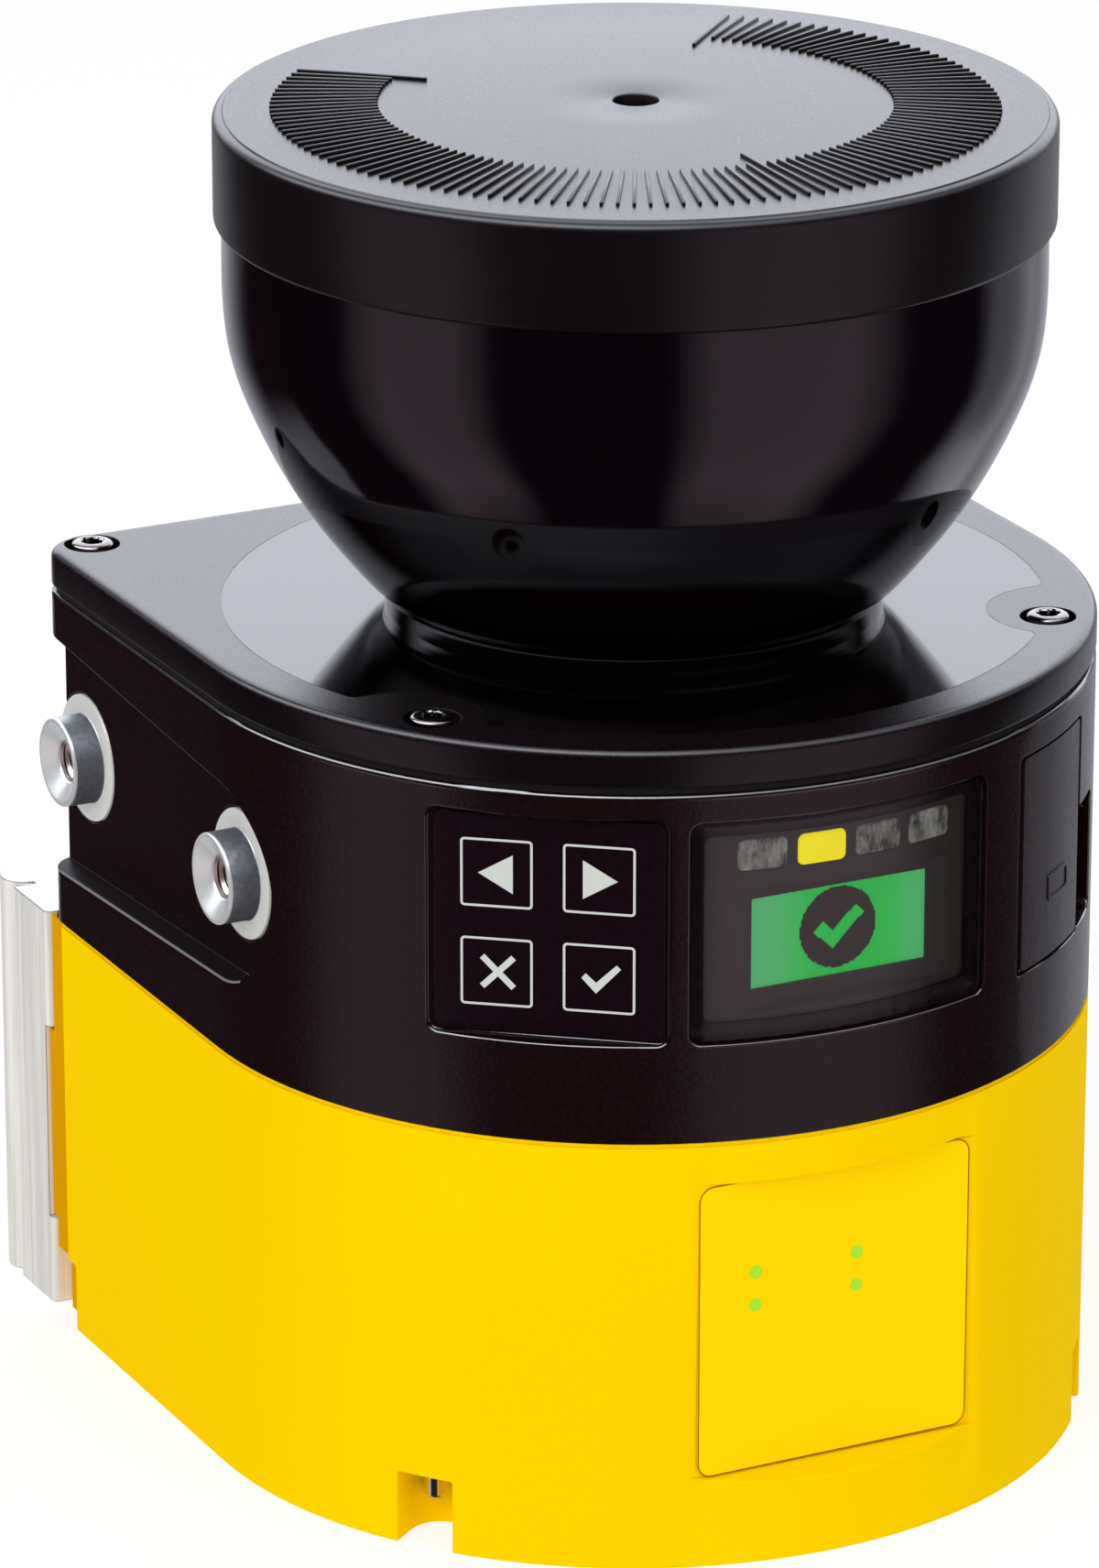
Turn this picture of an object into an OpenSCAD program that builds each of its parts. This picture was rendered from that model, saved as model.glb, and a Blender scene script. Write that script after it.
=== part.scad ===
// Compact safety laser scanner: yellow lower housing, black upper housing with
// keypad and display, smoked optics cover with a spinning mirror inside, and an
// aluminium system plug at the back.
// Frame: +Z up, the scan axis is x = y = 0, the base is z = 0, and the display
// faces -Y. Millimetres and degrees.

/* [Housing] */
// Half width of the housing, and the radius of its round front
body_r = 55; // [54:0.5:56]
// Distance from the scan axis to the rear face of the upper housing
rear_y = 51.1; // [50.5:0.1:52]
// Radius of the two rear corners
corner_r = 5.5; // [4:0.5:6]
// Height of the joint between the lower and the upper housing
split_z = 53.5; // [53:0.5:54]
// Height of the top edge of the upper housing
housing_top = 96; // [96:0.1:96.4]

/* [Optics cover] */
// Height of the top face of the cover flange
flange_top = 101.3; // [101:0.1:101.6]
// Outer radius of the neck of the bowl
neck_r = 30; // [29.5:0.5:30.5]
// Outer radius of the bowl below the lid
bowl_r = 48.5; // [48:0.1:48.6]
// Outer radius of the lid
lid_r = 49.3; // [49:0.1:50]
// Height of the lower edge of the lid
lid_z = 148.4; // [148:0.1:149]
// Height of the lid at its outer ring of marks
lid_top = 161.4; // [161:0.1:162]

/* [Scan marks] */
// Number of marks over the scan range
mark_count = 111; // [11:10:111]
// Angle covered by the marks
mark_span = 275; // [200:5:275]
// Width of one mark
mark_w = 0.4; // [0.3:0.1:0.6]

// Height of one mark above the lid
mark_h = 0.4; // [0.3:0.05:0.5]

/* [Mounting bushes] */
// Distance between the two bushes of one side
bush_pitch = 45; // [44:0.5:46]
// Height of the bushes above the base
bush_z = 75; // [74.5:0.5:75.5]
// Radius of the threaded bore of a bush
bush_bore_r = 2.1; // [2:0.05:2.2]

/* [Keys] */
// Travel of one key
key_travel = 0.3; // [0.2:0.05:0.35]

/* [Hidden] */
$fn = 96;
eps = 0.01;

yellow = [0.96, 0.77, 0.03];
black = [0.10, 0.09, 0.09];
gloss = [0.05, 0.05, 0.06];
alu = [0.80, 0.81, 0.82];
steel = [0.66, 0.67, 0.69];
pcb = [0.08, 0.33, 0.18];
rubber = [0.13, 0.13, 0.13];

wall_y = 46.8;                       // rear end of the full-width yellow sides
strip_x = 54.3;                      // half width of the stepped rear strip
yellow_rear = 50.7;                  // rear face of the lower housing
plug_front = 51.2;                   // front face of the system plug
plug_rear = 68.0;                    // rear face of the system plug
plug_top = 53.1;                     // top of the system plug
bush_y0 = -0.5;                      // front bush
pocket_x = 51.75;                    // flat floor of the side pockets
bush_face = 55.8;                    // outer face of the bushes
cover_screw_xy = [[40.4, -28.3], [-40.4, -28.3], [49.4, 47.1], [-49.4, 47.1]];
housing_screw_xy = [[28, -37], [-28, -37], [45, 34], [-45, 34]];
bench_screw_xy = [[43, 13], [-43, 13], [34, 42], [-34, 42]];
standoff_xy = [[33, 24], [-33, 24], [29, -20], [-29, -20]];
key_ang = -37.8;                     // direction in which the keypad faces
key_face = 53;                       // distance of the film face from the axis
usb_ang = 37;                        // direction in which the service flap faces
seam_z = 96.8;                       // underside of the cover flange
bowl_foot = 103.5;                    // where the bowl leaves its neck
bowl_full = 142;                     // where the bowl is full width
status_xz = [[-10.7, 36.1], [-10.7, 32], [2.6, 36.1], [2.6, 32]];

// ---- plane outlines -------------------------------------------------------

// Rectangle with true round corners, centred
module round_rect(w, h, r) {
  square([w - 2 * r, h], center = true);
  square([w, h - 2 * r], center = true);
  for (sx = [-1, 1], sy = [-1, 1])
    translate([sx * (w / 2 - r), sy * (h / 2 - r)]) circle(r, $fn = 32);
}

// Front half of a disc, up to one millimetre behind the scan axis
module front_disc(r) {
  intersection() {
    circle(r, $fn = 160);
    translate([-r - 1, -r - 1]) square([2 * r + 2, r + 2]);
  }
}

// The D-shaped outline of the housing, moved inwards by i
module d_outline(i = 0, rc = corner_r) {
  r = max(rc - i, 0.5);
  w = body_r - i;
  y = rear_y - i;
  front_disc(w);
  translate([-w, 0]) square([2 * w, y - r]);
  translate([-(w - r), 0]) square([2 * (w - r), y]);
  for (s = [-1, 1]) translate([s * (w - r), y - r]) circle(r, $fn = 48);
}

// Outline of the lower housing with its stepped rear edge
module lower_outline() {
  front_disc(body_r);
  translate([-body_r, 0]) square([2 * body_r, wall_y - 1]);
  translate([-(body_r - 1), 0]) square([2 * (body_r - 1), wall_y]);
  for (s = [-1, 1]) translate([s * (body_r - 1), wall_y - 1]) circle(1, $fn = 32);
  translate([-strip_x, 0]) square([2 * strip_x, yellow_rear]);
}

// Closed outline of the room inside the lower housing
module lower_room() {
  front_disc(51.6);
  translate([-51.6, 0]) square([103.2, 43.4]);
}

// Room inside the upper housing
module upper_room() {
  intersection() {
    union() {
      front_disc(50.4);
      translate([-50.4, 0]) square([100.8, 47]);
    }
    translate([-48, -60]) square([96, 107]);
  }
}

// ---- placing helpers ------------------------------------------------------

// Turns -Y to the direction a, with a counted towards +X
module facing(a) { rotate([0, 0, a]) children(); }

// Extrudes an XZ outline outwards from distance d0 to d1 in front of the axis
module outwards(d0, d1, z = 0) {
  translate([0, -d0, z]) rotate([90, 0, 0]) linear_extrude(d1 - d0) children();
}

// Extrudes a YZ outline along +X from x0 to x1
module sideways(x0, x1) {
  translate([x0, 0, 0]) rotate([90, 0, 90]) linear_extrude(x1 - x0) children();
}

// Cylinder along -Y from distance d0 to d1
module peg(r, d0, d1, u = 0, z = 0, fn = 48) {
  translate([u, -d0, z]) rotate([90, 0, 0]) cylinder(r = r, h = d1 - d0, $fn = fn);
}

// Ring, whole, between two radii and two heights
module ring(r0, r1, z0, z1) {
  difference() {
    translate([0, 0, z0]) cylinder(r = r1, h = z1 - z0);
    translate([0, 0, z0 - 1]) cylinder(r = r0, h = z1 - z0 + 2);
  }
}

module each_xy(list) { for (p = list) translate([p[0], p[1], 0]) children(); }

// ---- lower housing --------------------------------------------------------

// Radial notch under a front screw: round back wall, open to the front
module foot_notch(s) {
  facing(s * 53.4) union() {
    translate([0, -50.8, -1]) cylinder(r = 3.6, h = 10.1);
    translate([-3.6, -60, -1]) cube([7.2, 9.2, 10.1]);
  }
}

// Flat panel let into the round front, with sloping upper and lower ledges
module label_recess() {
  translate([-18.9, 0, 0]) rotate([90, 0, 90]) linear_extrude(37.6)
    polygon([[-51.9, 11.2], [-51.9, 48.1], [-57, 48.1], [-57, 8.57]]);
}

module lower_housing() {
  color(yellow) difference() {
    union() {
      difference() {
        linear_extrude(split_z) lower_outline();
        translate([0, 0, 3]) linear_extrude(split_z) lower_room();
      }
      // screw posts
      intersection() {
        each_xy(housing_screw_xy) cylinder(r = 6, h = split_z);
        linear_extrude(split_z) lower_outline();
      }
      // solid corners around the foot notches
      intersection() {
        for (s = [-1, 1]) facing(s * 53.4) translate([-7, -56, 0]) cube([14, 15, 15]);
        linear_extrude(15) lower_outline();
      }
      // thick back of the label panel
      intersection() {
        translate([-19.5, -53, 3]) cube([39, 4, 47]);
        linear_extrude(60) lower_outline();
      }
      // tongues that centre the system plug
      for (s = [-1, 1])
        translate([s * 53.6 - 0.7, 49, 12.6]) cube([1.4, 3, 24.9]);
    }
    label_recess();
    for (s = [-1, 1]) {
      foot_notch(s);
      // cut-back lower rear corner
      translate([s * 55.1 - 2.5, 43.9, -1]) cube([5, 9, 9.6]);
      // hole for the locating pin
      translate([s * 40.4, -28.3, 5]) cylinder(r = 1.5, h = 9);
    }
    // through holes and deep counterbores of the housing screws
    each_xy(housing_screw_xy) {
      translate([0, 0, -1]) cylinder(r = 4, h = 41);
      cylinder(r = 2.25, h = split_z + 1);
    }
    // groove of the housing seal
    translate([0, 0, split_z - 0.8]) linear_extrude(2) difference() {
      d_outline(1, 1.5); d_outline(2.1, 1.5);
    }
    // opening for the plug contacts and the four plug screws
    translate([-18, 40, 31]) cube([36, 20, 14]);
    for (x = [-46, 46], z = [14, 46]) translate([x, 40, z]) rotate([-90, 0, 0])
      translate([0, 0, 4.2]) cylinder(r = 1.65, h = 20);
    // light guide bores
    for (p = status_xz) peg(0.8, 45, 60, p[0], p[1], 32);
    // fine step along the upper edge
    translate([0, 0, split_z - 0.5]) linear_extrude(2) difference() {
      d_outline(-2); d_outline(0.25);
    }
  }
}

module housing_seal() {
  color(rubber) translate([0, 0, split_z - 0.8]) linear_extrude(0.8) difference() {
    d_outline(1.05, 1.5); d_outline(2.05, 1.5);
  }
}

module housing_screws() {
  color(steel) each_xy(housing_screw_xy) difference() {
    union() {
      translate([0, 0, 36]) cylinder(r = 3.5, h = 4);
      translate([0, 0, 40]) cylinder(r = 2, h = 25);
    }
    translate([0, 0, 35]) cylinder(r = 1.73, h = 3.4, $fn = 6);
  }
}

module locating_pins() {
  color(steel) for (s = [-1, 1]) translate([s * 40.4, -28.3, 0]) rotate_extrude($fn = 48)
    polygon([[0, 4.4], [1.2, 4.4], [1.5, 4.8], [1.5, 13.4], [1.2, 13.8], [0, 13.8]]);
}

module status_label() {
  color([0.98, 0.80, 0.05]) difference() {
    translate([-0.3, 0, 29.6]) outwards(51.9, 52.05) round_rect(35.6, 36.5, 1.8);
    for (p = status_xz) peg(0.8, 50, 60, p[0], p[1], 32);
  }
}

module status_light_guides() {
  color([0.75, 0.85, 0.15]) for (p = status_xz) {
    peg(0.79, 46, 52.1, p[0], p[1], 32);
    peg(1.4, 45, 49, p[0], p[1], 32);
  }
}

// ---- upper housing --------------------------------------------------------

// Side pocket that is open to the rear, with a round front end
module side_pocket() {
  sideways(pocket_x, 60) {
    translate([bush_y0, bush_z]) circle(12.25);
    polygon([[bush_y0, bush_z + 12.25], [70, bush_z + 16.9],
             [70, bush_z - 15.9], [bush_y0, bush_z - 12.25]]);
  }
}

module bush_hole(y) {
  translate([0, y, bush_z]) rotate([0, 90, 0]) {
    translate([0, 0, 44]) cylinder(r = 5, h = 20);
    translate([0, 0, 51.1]) cylinder(r = 8.1, h = 10);
  }
}

module usb_hinge() { translate([-7.1, -53.4, 0]) children(); }

module upper_housing() {
  color(black) difference() {
    union() {
      difference() {
        translate([0, 0, split_z]) linear_extrude(housing_top - split_z) d_outline();
        translate([0, 0, split_z - 1]) linear_extrude(60) upper_room();
      }
      // bosses: housing screws, cover screws, bench screws, side bushes
      intersection() {
        union() {
          each_xy(housing_screw_xy) translate([0, 0, split_z]) cylinder(r = 6, h = 13);
          each_xy(cover_screw_xy) translate([0, 0, split_z + 26])
            cylinder(r = 4.6, h = housing_top - split_z - 26);
          each_xy(bench_screw_xy) translate([0, 0, 70]) cylinder(r = 5.2, h = 14);
          for (s = [-1, 1], y = [bush_y0, bush_y0 + bush_pitch])
            translate([s * 49, y, bush_z]) rotate([0, 90, 0]) cylinder(r = 7.5, h = 6, center = true);
          for (s = [-1, 1]) translate([s * 46 - 3, 9, 70]) cube([6, 8, 14]);
          for (s = [-1, 1]) translate([s * 34 - 5, 41, 70]) cube([10, 8, 14]);
        }
        translate([0, 0, split_z]) linear_extrude(housing_top - split_z) d_outline();
      }
      // backing of the keypad, the display and the service flap
      intersection() {
        union() {
          facing(key_ang) translate([-16, -53, 63]) cube([32, 5, 32]);
          facing(usb_ang) translate([-11, -53, 63]) cube([23, 6, 32]);
        }
        translate([0, 0, 60]) linear_extrude(housing_top - 60) d_outline();
      }
    }
    for (s = [0, 1]) mirror([s, 0, 0]) {
      side_pocket();
      bush_hole(bush_y0);
      bush_hole(bush_y0 + bush_pitch);
    }
    // threaded holes
    each_xy(housing_screw_xy) translate([0, 0, split_z - 1]) cylinder(r = 2.02, h = 13);
    each_xy(cover_screw_xy) translate([0, 0, 86]) cylinder(r = 1.52, h = 12);
    each_xy(bench_screw_xy) translate([0, 0, 74]) cylinder(r = 1.52, h = 12);
    // keypad: flat recess, key pockets and guide bores
    facing(key_ang) {
      translate([0, 0, 79.25]) outwards(key_face - 0.3, 60) round_rect(28.3, 27.4, 1.5);
      for (u = [-5.95, 5.95], z = [73.35, 85.25]) {
        peg(3.1, key_face - 1.6, 60, u, z);
        peg(1.5, 40, 60, u, z);
      }
    }
    // display: stepped opening for the window
    translate([0, 0, 78.95]) {
      outwards(40, 60) round_rect(34.8, 23.4, 1);
      difference() {
        outwards(45, 60) round_rect(38.4, 26.9, 1.4);
        translate([0, 0, -20]) cylinder(r = 53.3, h = 40, $fn = 160);
      }
    }
    // service flap recess, hinge relief, finger pocket and socket opening
    facing(usb_ang) {
      translate([-0.4, 0, 78.75]) outwards(52.2, 60) round_rect(17.8, 27.1, 0.8);
      usb_hinge() {
        translate([0, 0, 63.6]) cylinder(r = 0.5, h = 30.2, $fn = 48);
        translate([0, 0, 65.3]) cylinder(r = 1.38, h = 26.9, $fn = 48);
      }
      translate([0, 0, 78.75]) outwards(40, 60) round_rect(4.4, 10, 0.8);
      translate([2.4, 0, 78.75]) outwards(47, 60) round_rect(9.2, 16, 0.8);
    }
    facing(49.8) translate([-0.6, 0, 73.2]) outwards(51.2, 60) round_rect(8.6, 15.2, 1.5);
  }
}

module keypad_film() {
  color([0.07, 0.06, 0.07]) facing(key_ang) translate([0, 0, 79.25])
    translate([0.15, 0, 0]) outwards(key_face - 0.3, key_face) round_rect(26.8, 26.3, 1.2);
}

// One key: pad under the film, stem in its guide bore, contact pill at its end
module key(u, z) {
  color([0.25, 0.25, 0.27]) facing(key_ang) {
    peg(2.9, key_face - 1.25, key_face - 0.35, u, z);
    peg(1.45, 46.6, key_face - 1, u, z);
  }
}
module left_key() { key(-5.95, 85.25); }
module right_key() { key(5.95, 85.25); }
module back_key() { key(-5.95, 73.35); }
module confirm_key() { key(5.95, 73.35); }

module key_board() {
  color(pcb) facing(key_ang) {
    difference() {
      translate([-9.6, -45.8, 66.6]) cube([19.2, 1.2, 25.4]);
      for (z = [79.3]) peg(1.6, 40, 60, 0, z);
    }
    for (u = [-5.95, 5.95], z = [73.35, 85.25]) peg(1.7, 45.5, 46.2, u, z);
    // two posts that hold the board to the wall
    for (z = [68, 90.5]) peg(1.2, 45.5, 48, 0, z);
  }
}

module display_window() {
  color([0.20, 0.20, 0.22, 0.45]) translate([0, 0, 78.95]) intersection() {
    outwards(45, 60) round_rect(37.9, 26.4, 1.2);
    difference() {
      translate([0, 0, -20]) cylinder(r = 54.7, h = 40, $fn = 160);
      translate([0, 0, -21]) cylinder(r = 53.3, h = 42, $fn = 160);
    }
  }
}

lens_a = [-11.1, -3.25, 4.7, 12.55];   // directions of the four indicator lenses

module display_carrier() {
  color([0.16, 0.15, 0.15]) difference() {
    union() {
      intersection() {
        translate([0, 0, 78.95]) outwards(46.5, 60) round_rect(34.2, 22.8, 0.8);
        translate([0, 0, 60]) cylinder(r = 52.9, h = 40, $fn = 160);
      }
    }
    // stepped face around the screen
    translate([-0.2, 0, 75.9]) outwards(51, 60) round_rect(29.4, 15.2, 0.6);
    translate([0.3, 0, 76.35]) outwards(40, 60) round_rect(22.8, 11.1, 0.2);
    translate([0.3, 0, 76.35]) outwards(40, 50.6) round_rect(27.2, 14.4, 0.3);
    // lens pockets
    for (a = lens_a) facing(a) translate([0, 0, 87.55]) outwards(40, 60) round_rect(6.1, 3.85, 0.85);
  }
}

module indicator_lenses() {
  color([0.75, 0.76, 0.70]) for (a = lens_a) facing(a) intersection() {
    translate([0, 0, 87.55]) outwards(48.5, 60) round_rect(6, 3.75, 0.8);
    rotate([0, 0, -a]) translate([0, 0, 60]) cylinder(r = 53.1, h = 40, $fn = 160);
  }
}

module display_screen() {
  color([0.2, 0.7, 0.4]) translate([0.3, 0, 76.35]) outwards(47.4, 50.5) round_rect(27, 14.2, 0.3);
}

module display_board() {
  color(pcb) {
    translate([-17, -46.5, 66]) cube([34, 1.2, 26]);
    translate([-12, -45.4, 69]) cube([8, 2, 8]);
    translate([2, -45.4, 80]) cube([6, 1.6, 6]);
    // back-light and lamp bodies that reach the screen and the lenses
    translate([-12, -47.4, 70]) cube([24, 1, 12.5]);
    for (a = lens_a) facing(a) translate([-1.6, -48.4, 86]) cube([3.2, 2.4, 3]);
  }
}

module usb_cover() {
  color([0.12, 0.11, 0.11]) facing(usb_ang) difference() {
    union() {
      intersection() {
        translate([0, 0, 78.75]) outwards(45, 60) round_rect(16.3, 26.4, 0.7);
        difference() {
          translate([0, 0, 60]) cylinder(r = 54.85, h = 40, $fn = 160);
          translate([0, 0, 59]) cylinder(r = 53.3, h = 42, $fn = 160);
        }
      }
      usb_hinge() translate([0, 0, 66]) cylinder(r = 0.95, h = 25.5, $fn = 48);
      // plug that closes the socket
      translate([2.6, 0, 78.75]) outwards(51.8, 53.6) round_rect(3, 8, 0.6);
      // plain raised port symbol
      intersection() {
        difference() {
          translate([1, 0, 74]) outwards(45, 60) round_rect(6, 3.4, 0.6);
          translate([1, 0, 74]) outwards(45, 60) round_rect(5, 2.4, 0.4);
        }
        translate([0, 0, 60]) cylinder(r = 55, h = 40, $fn = 160);
        translate([-10, -60, 60]) cube([20, 7, 40]);
      }
    }
    usb_hinge() translate([0, 0, 60]) cylinder(r = 0.56, h = 40, $fn = 48);
  }
}

module usb_hinge_pin() {
  color(steel) facing(usb_ang) usb_hinge()
    translate([0, 0, 63.8]) cylinder(r = 0.5, h = 29.8, $fn = 48);
}

module usb_socket() {
  color(steel) facing(usb_ang) translate([2.6, 0, 78.75]) difference() {
    outwards(47, 51.4) round_rect(8.8, 15.6, 0.6);
    outwards(48, 60) round_rect(3.4, 8.6, 0.6);
  }
}

// Flanged bush with a funnel mouth, axis along +X
module bush(y) {
  translate([0, y, bush_z]) rotate([0, 90, 0]) rotate_extrude($fn = 72)
    polygon([[bush_bore_r, 46.6], [5, 46.6], [5, 51.1], [7.85, 51.1], [7.85, 51.9],
             [5.5, 51.9], [5.5, 55.5], [5.2, bush_face], [4.9, bush_face],
             [2.7, 54.5], [bush_bore_r, 54.1]]);
}
module right_bushes() { color(alu) for (y = [0, bush_pitch]) bush(bush_y0 + y); }
module left_bushes() { color(alu) mirror([1, 0, 0]) for (y = [0, bush_pitch]) bush(bush_y0 + y); }

// ---- optics cover ---------------------------------------------------------

function bowl(t) = neck_r + (bowl_r - neck_r) * (1 - pow(1 - t, 1.95));
bowl_steps = 18;
bowl_out = [for (i = [0 : bowl_steps]) let (t = i / bowl_steps)
  [bowl(t), bowl_foot + t * (bowl_full - bowl_foot)]];
bowl_in = [for (i = [bowl_steps : -1 : 0]) let (t = i / bowl_steps)
  [bowl(t) - 2.7, bowl_foot + t * (bowl_full - bowl_foot)]];

module optics_cover() {
  color(gloss) difference() {
    union() {
      translate([0, 0, seam_z]) linear_extrude(flange_top - seam_z - 1) d_outline();
      translate([0, 0, flange_top - 1]) linear_extrude(0.4) d_outline(0.12);
      translate([0, 0, flange_top - 0.6]) linear_extrude(0.35) d_outline(0.4);
      translate([0, 0, flange_top - 0.25]) linear_extrude(0.25) d_outline(0.85);
      rotate_extrude($fn = 160) polygon(concat([[29, seam_z + 2], [neck_r, seam_z + 2]],
        bowl_out, [[bowl_r, lid_z], [46.9, lid_z], [46.9, lid_z + 3],
        [45.8, lid_z + 3], [bowl_r - 2.7, bowl_full]], bowl_in));
      each_xy(cover_screw_xy) translate([0, 0, seam_z]) cylinder(r = 0.1, h = 1);
    }
    translate([0, 0, seam_z - 1]) cylinder(r = neck_r - 2.7, h = bowl_foot - seam_z + 1 + eps, $fn = 160);
    // hollow underside of the flange
    translate([0, 0, seam_z - 1]) linear_extrude(3) difference() {
      intersection() { d_outline(7, 6); circle(46.5); }
      circle(neck_r + 2.5);
    }
    each_xy(cover_screw_xy) {
      translate([0, 0, seam_z - 1]) cylinder(r = 1.7, h = 10);
      translate([0, 0, flange_top - 2.1]) cylinder(r = 3.3, h = 5);
    }
  }
}

module cover_seal() {
  color(rubber) translate([0, 0, housing_top]) linear_extrude(seam_z - housing_top) difference() {
    d_outline(0.55); d_outline(1.9);
  }
}

module cover_screws() {
  color(steel) each_xy(cover_screw_xy) difference() {
    union() {
      translate([0, 0, 0]) rotate_extrude($fn = 48) polygon([[0, flange_top - 2.1],
        [2.6, flange_top - 2.1], [2.6, flange_top + 0.15], [2.35, flange_top + 0.38],
        [1.75, flange_top + 0.45], [0, flange_top + 0.45]]);
      translate([0, 0, 88]) cylinder(r = 1.5, h = flange_top - 2 - 88);
    }
    translate([0, 0, flange_top - 1.1]) linear_extrude(3) {
      circle(1.05, $fn = 24);
      for (a = [0 : 60 : 300]) rotate(a) translate([1.05, 0]) circle(0.32, $fn = 16);
    }
  }
}

function arc_pts(cx, cz, r, a0, a1, n) =
  [for (i = [0 : n]) let (a = a0 + (a1 - a0) * i / n) [cx + r * cos(a), cz + r * sin(a)]];

module optics_lid() {
  color(black) difference() {
    rotate_extrude($fn = 160) polygon(concat(
      [[0, lid_top + 0.8], [0, lid_top - 3.2], [44, lid_top - 3.2], [47, lid_top - 6],
       [47, lid_z], [lid_r - 0.3, lid_z], [lid_r, lid_z + 0.3]],
      arc_pts(lid_r - 1.2, lid_top - 1.3, 1.2, 0, 80, 5),
      [[42.4, lid_top], [30.2, lid_top + 0.45]]));
    translate([0, 0, lid_top - 1.8]) cylinder(r = 2.7, h = 5, $fn = 48);
  }
  // raised radial marks over the scan range, three of them longer
  color(black) intersection() {
    rotate_extrude($fn = 160) polygon([[20, lid_z + 4], [48, lid_z + 4],
      [48, lid_top + mark_h], [42.4, lid_top + mark_h], [30.2, lid_top + 0.45 + mark_h],
      [20, lid_top + 0.6 + mark_h]]);
    translate([0, 0, lid_top - 1]) linear_extrude(3)
      for (i = [0 : mark_count - 1]) let (
          a = -mark_span / 2 + mark_span * i / (mark_count - 1),
          r0 = (i == 0 || i == mark_count - 1 || i == (mark_count - 1) / 2) ? 26.3 : 30.2)
        rotate(a) {
          translate([-mark_w / 2, -42.4]) square([mark_w, 42.4 - r0]);
          translate([0, -42.4]) circle(mark_w / 2, $fn = 16);
          translate([0, -r0]) circle(mark_w / 2, $fn = 16);
        }
  }
}

// ---- system plug ----------------------------------------------------------

module system_plug() {
  color(alu) difference() {
    union() {
      // plan outline with round rear corners
      difference() {
        translate([0, 0, 0.8]) linear_extrude(plug_top - 0.8) union() {
          translate([-54.8, plug_front + 1]) square([109.6, 9]);
          translate([-53.8, plug_front]) square([107.6, 8]);
          translate([-51.8, plug_front + 2]) square([103.6, plug_rear - plug_front - 2]);
          for (s = [-1, 1]) {
            translate([s * 51.8, plug_rear - 3]) circle(3, $fn = 48);
            translate([s * 53.8, plug_front + 1]) circle(1, $fn = 32);
          }
        }
        // sloped upper rear edge
        translate([0, plug_rear, plug_top]) rotate([45, 0, 0]) cube([130, 1.2, 1.2], center = true);
      }
    }
    // bay for the round connectors, open below and behind
    translate([-38, plug_front - 1, -1]) cube([76, 20, 25]);
    // wiring room
    translate([-33, plug_front - 1, 29]) cube([66, 9.5, 20]);
    for (x = [-24, 0, 24]) translate([x, 58.2, 20]) cylinder(r = 4.5, h = 12);
    for (s = [-1, 1]) {
      // notch for the tongues of the housing
      translate([s * 54 - 1.3, plug_front - 1, 12.3]) cube([2.6, 2, 25.5]);
    }
    for (x = [-46, 46], z = [14, 46]) translate([x, 40, z]) rotate([-90, 0, 0]) {
      cylinder(r = 1.7, h = 40);
      translate([0, 0, plug_rear - 40 - 4]) cylinder(r = 3.2, h = 10);
    }
  }
}

module plug_seal() {
  color(rubber) difference() {
    translate([-35, yellow_rear, 27]) cube([70, plug_front - yellow_rear, 24]);
    translate([-31, yellow_rear - 1, 30]) cube([62, 3, 18]);
  }
}

module plug_screws() {
  color(steel) for (x = [-46, 46], z = [14, 46]) translate([x, 0, z]) rotate([-90, 0, 0])
    difference() {
      union() {
        translate([0, 0, plug_rear - 4]) cylinder(r = 2.75, h = 3);
        translate([0, 0, 45.5]) cylinder(r = 1.5, h = plug_rear - 4 - 45);
      }
      translate([0, 0, plug_rear - 2.5]) cylinder(r = 1.45, h = 3, $fn = 6);
    }
}

module plug_header() {
  color([0.15, 0.15, 0.17]) {
    translate([-17, 48, 32]) cube([34, 11.7, 12]);
    translate([-32.9, 52.2, 29.1]) cube([65.8, 1.6, 19.8]);
    for (i = [0 : 7]) translate([-14 + 4 * i - 0.4, 46, 37.6]) cube([0.8, 3, 0.8]);
  }
}

module board_receptacle() {
  color([0.15, 0.15, 0.17]) difference() {
    translate([-17, 41.5, 32]) cube([34, 6.5, 12]);
    for (i = [0 : 7]) translate([-14 + 4 * i - 0.45, 45.5, 37.55]) cube([0.9, 3, 0.9]);
  }
}

// Round screw connector that points down
module m12(x) {
  translate([x, 58.2, 0]) difference() {
    union() {
      translate([0, 0, 24]) cylinder(r = 4.5, h = 7);
      translate([0, 0, 20.7]) cylinder(r = 6.3, h = 3.3, $fn = 6);
      translate([0, 0, 19]) cylinder(r = 5.3, h = 3);
      translate([0, 0, 9]) cylinder(r = 6, h = 11);
    }
    translate([0, 0, 8]) cylinder(r = 4.5, h = 10);
  }
}
module power_connector() {
  color([0.70, 0.71, 0.73]) {
    m12(-24);
    for (a = [0 : 45 : 315]) translate([-24 + 2.75 * cos(a), 58.2 + 2.75 * sin(a), 11])
      cylinder(r = 0.5, h = 8, $fn = 24);
  }
}
module network_connectors() {
  color([0.70, 0.71, 0.73]) for (x = [0, 24]) {
    m12(x);
    translate([x, 58.2, 11]) difference() {
      cylinder(r = 3.9, h = 8);
      for (a = [45 : 90 : 315]) rotate(a) translate([2, 0, -1]) cylinder(r = 0.55, h = 5, $fn = 24);
    }
  }
}

// ---- electronics ----------------------------------------------------------

module interface_board() {
  color(pcb) {
    translate([-30, 39.9, 17.6]) cube([60, 1.6, 31]);
    translate([-24, 37, 36]) cube([12, 3, 9]);
    translate([10, 37.5, 34]) cube([10, 2.5, 10]);
  }
}

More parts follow.
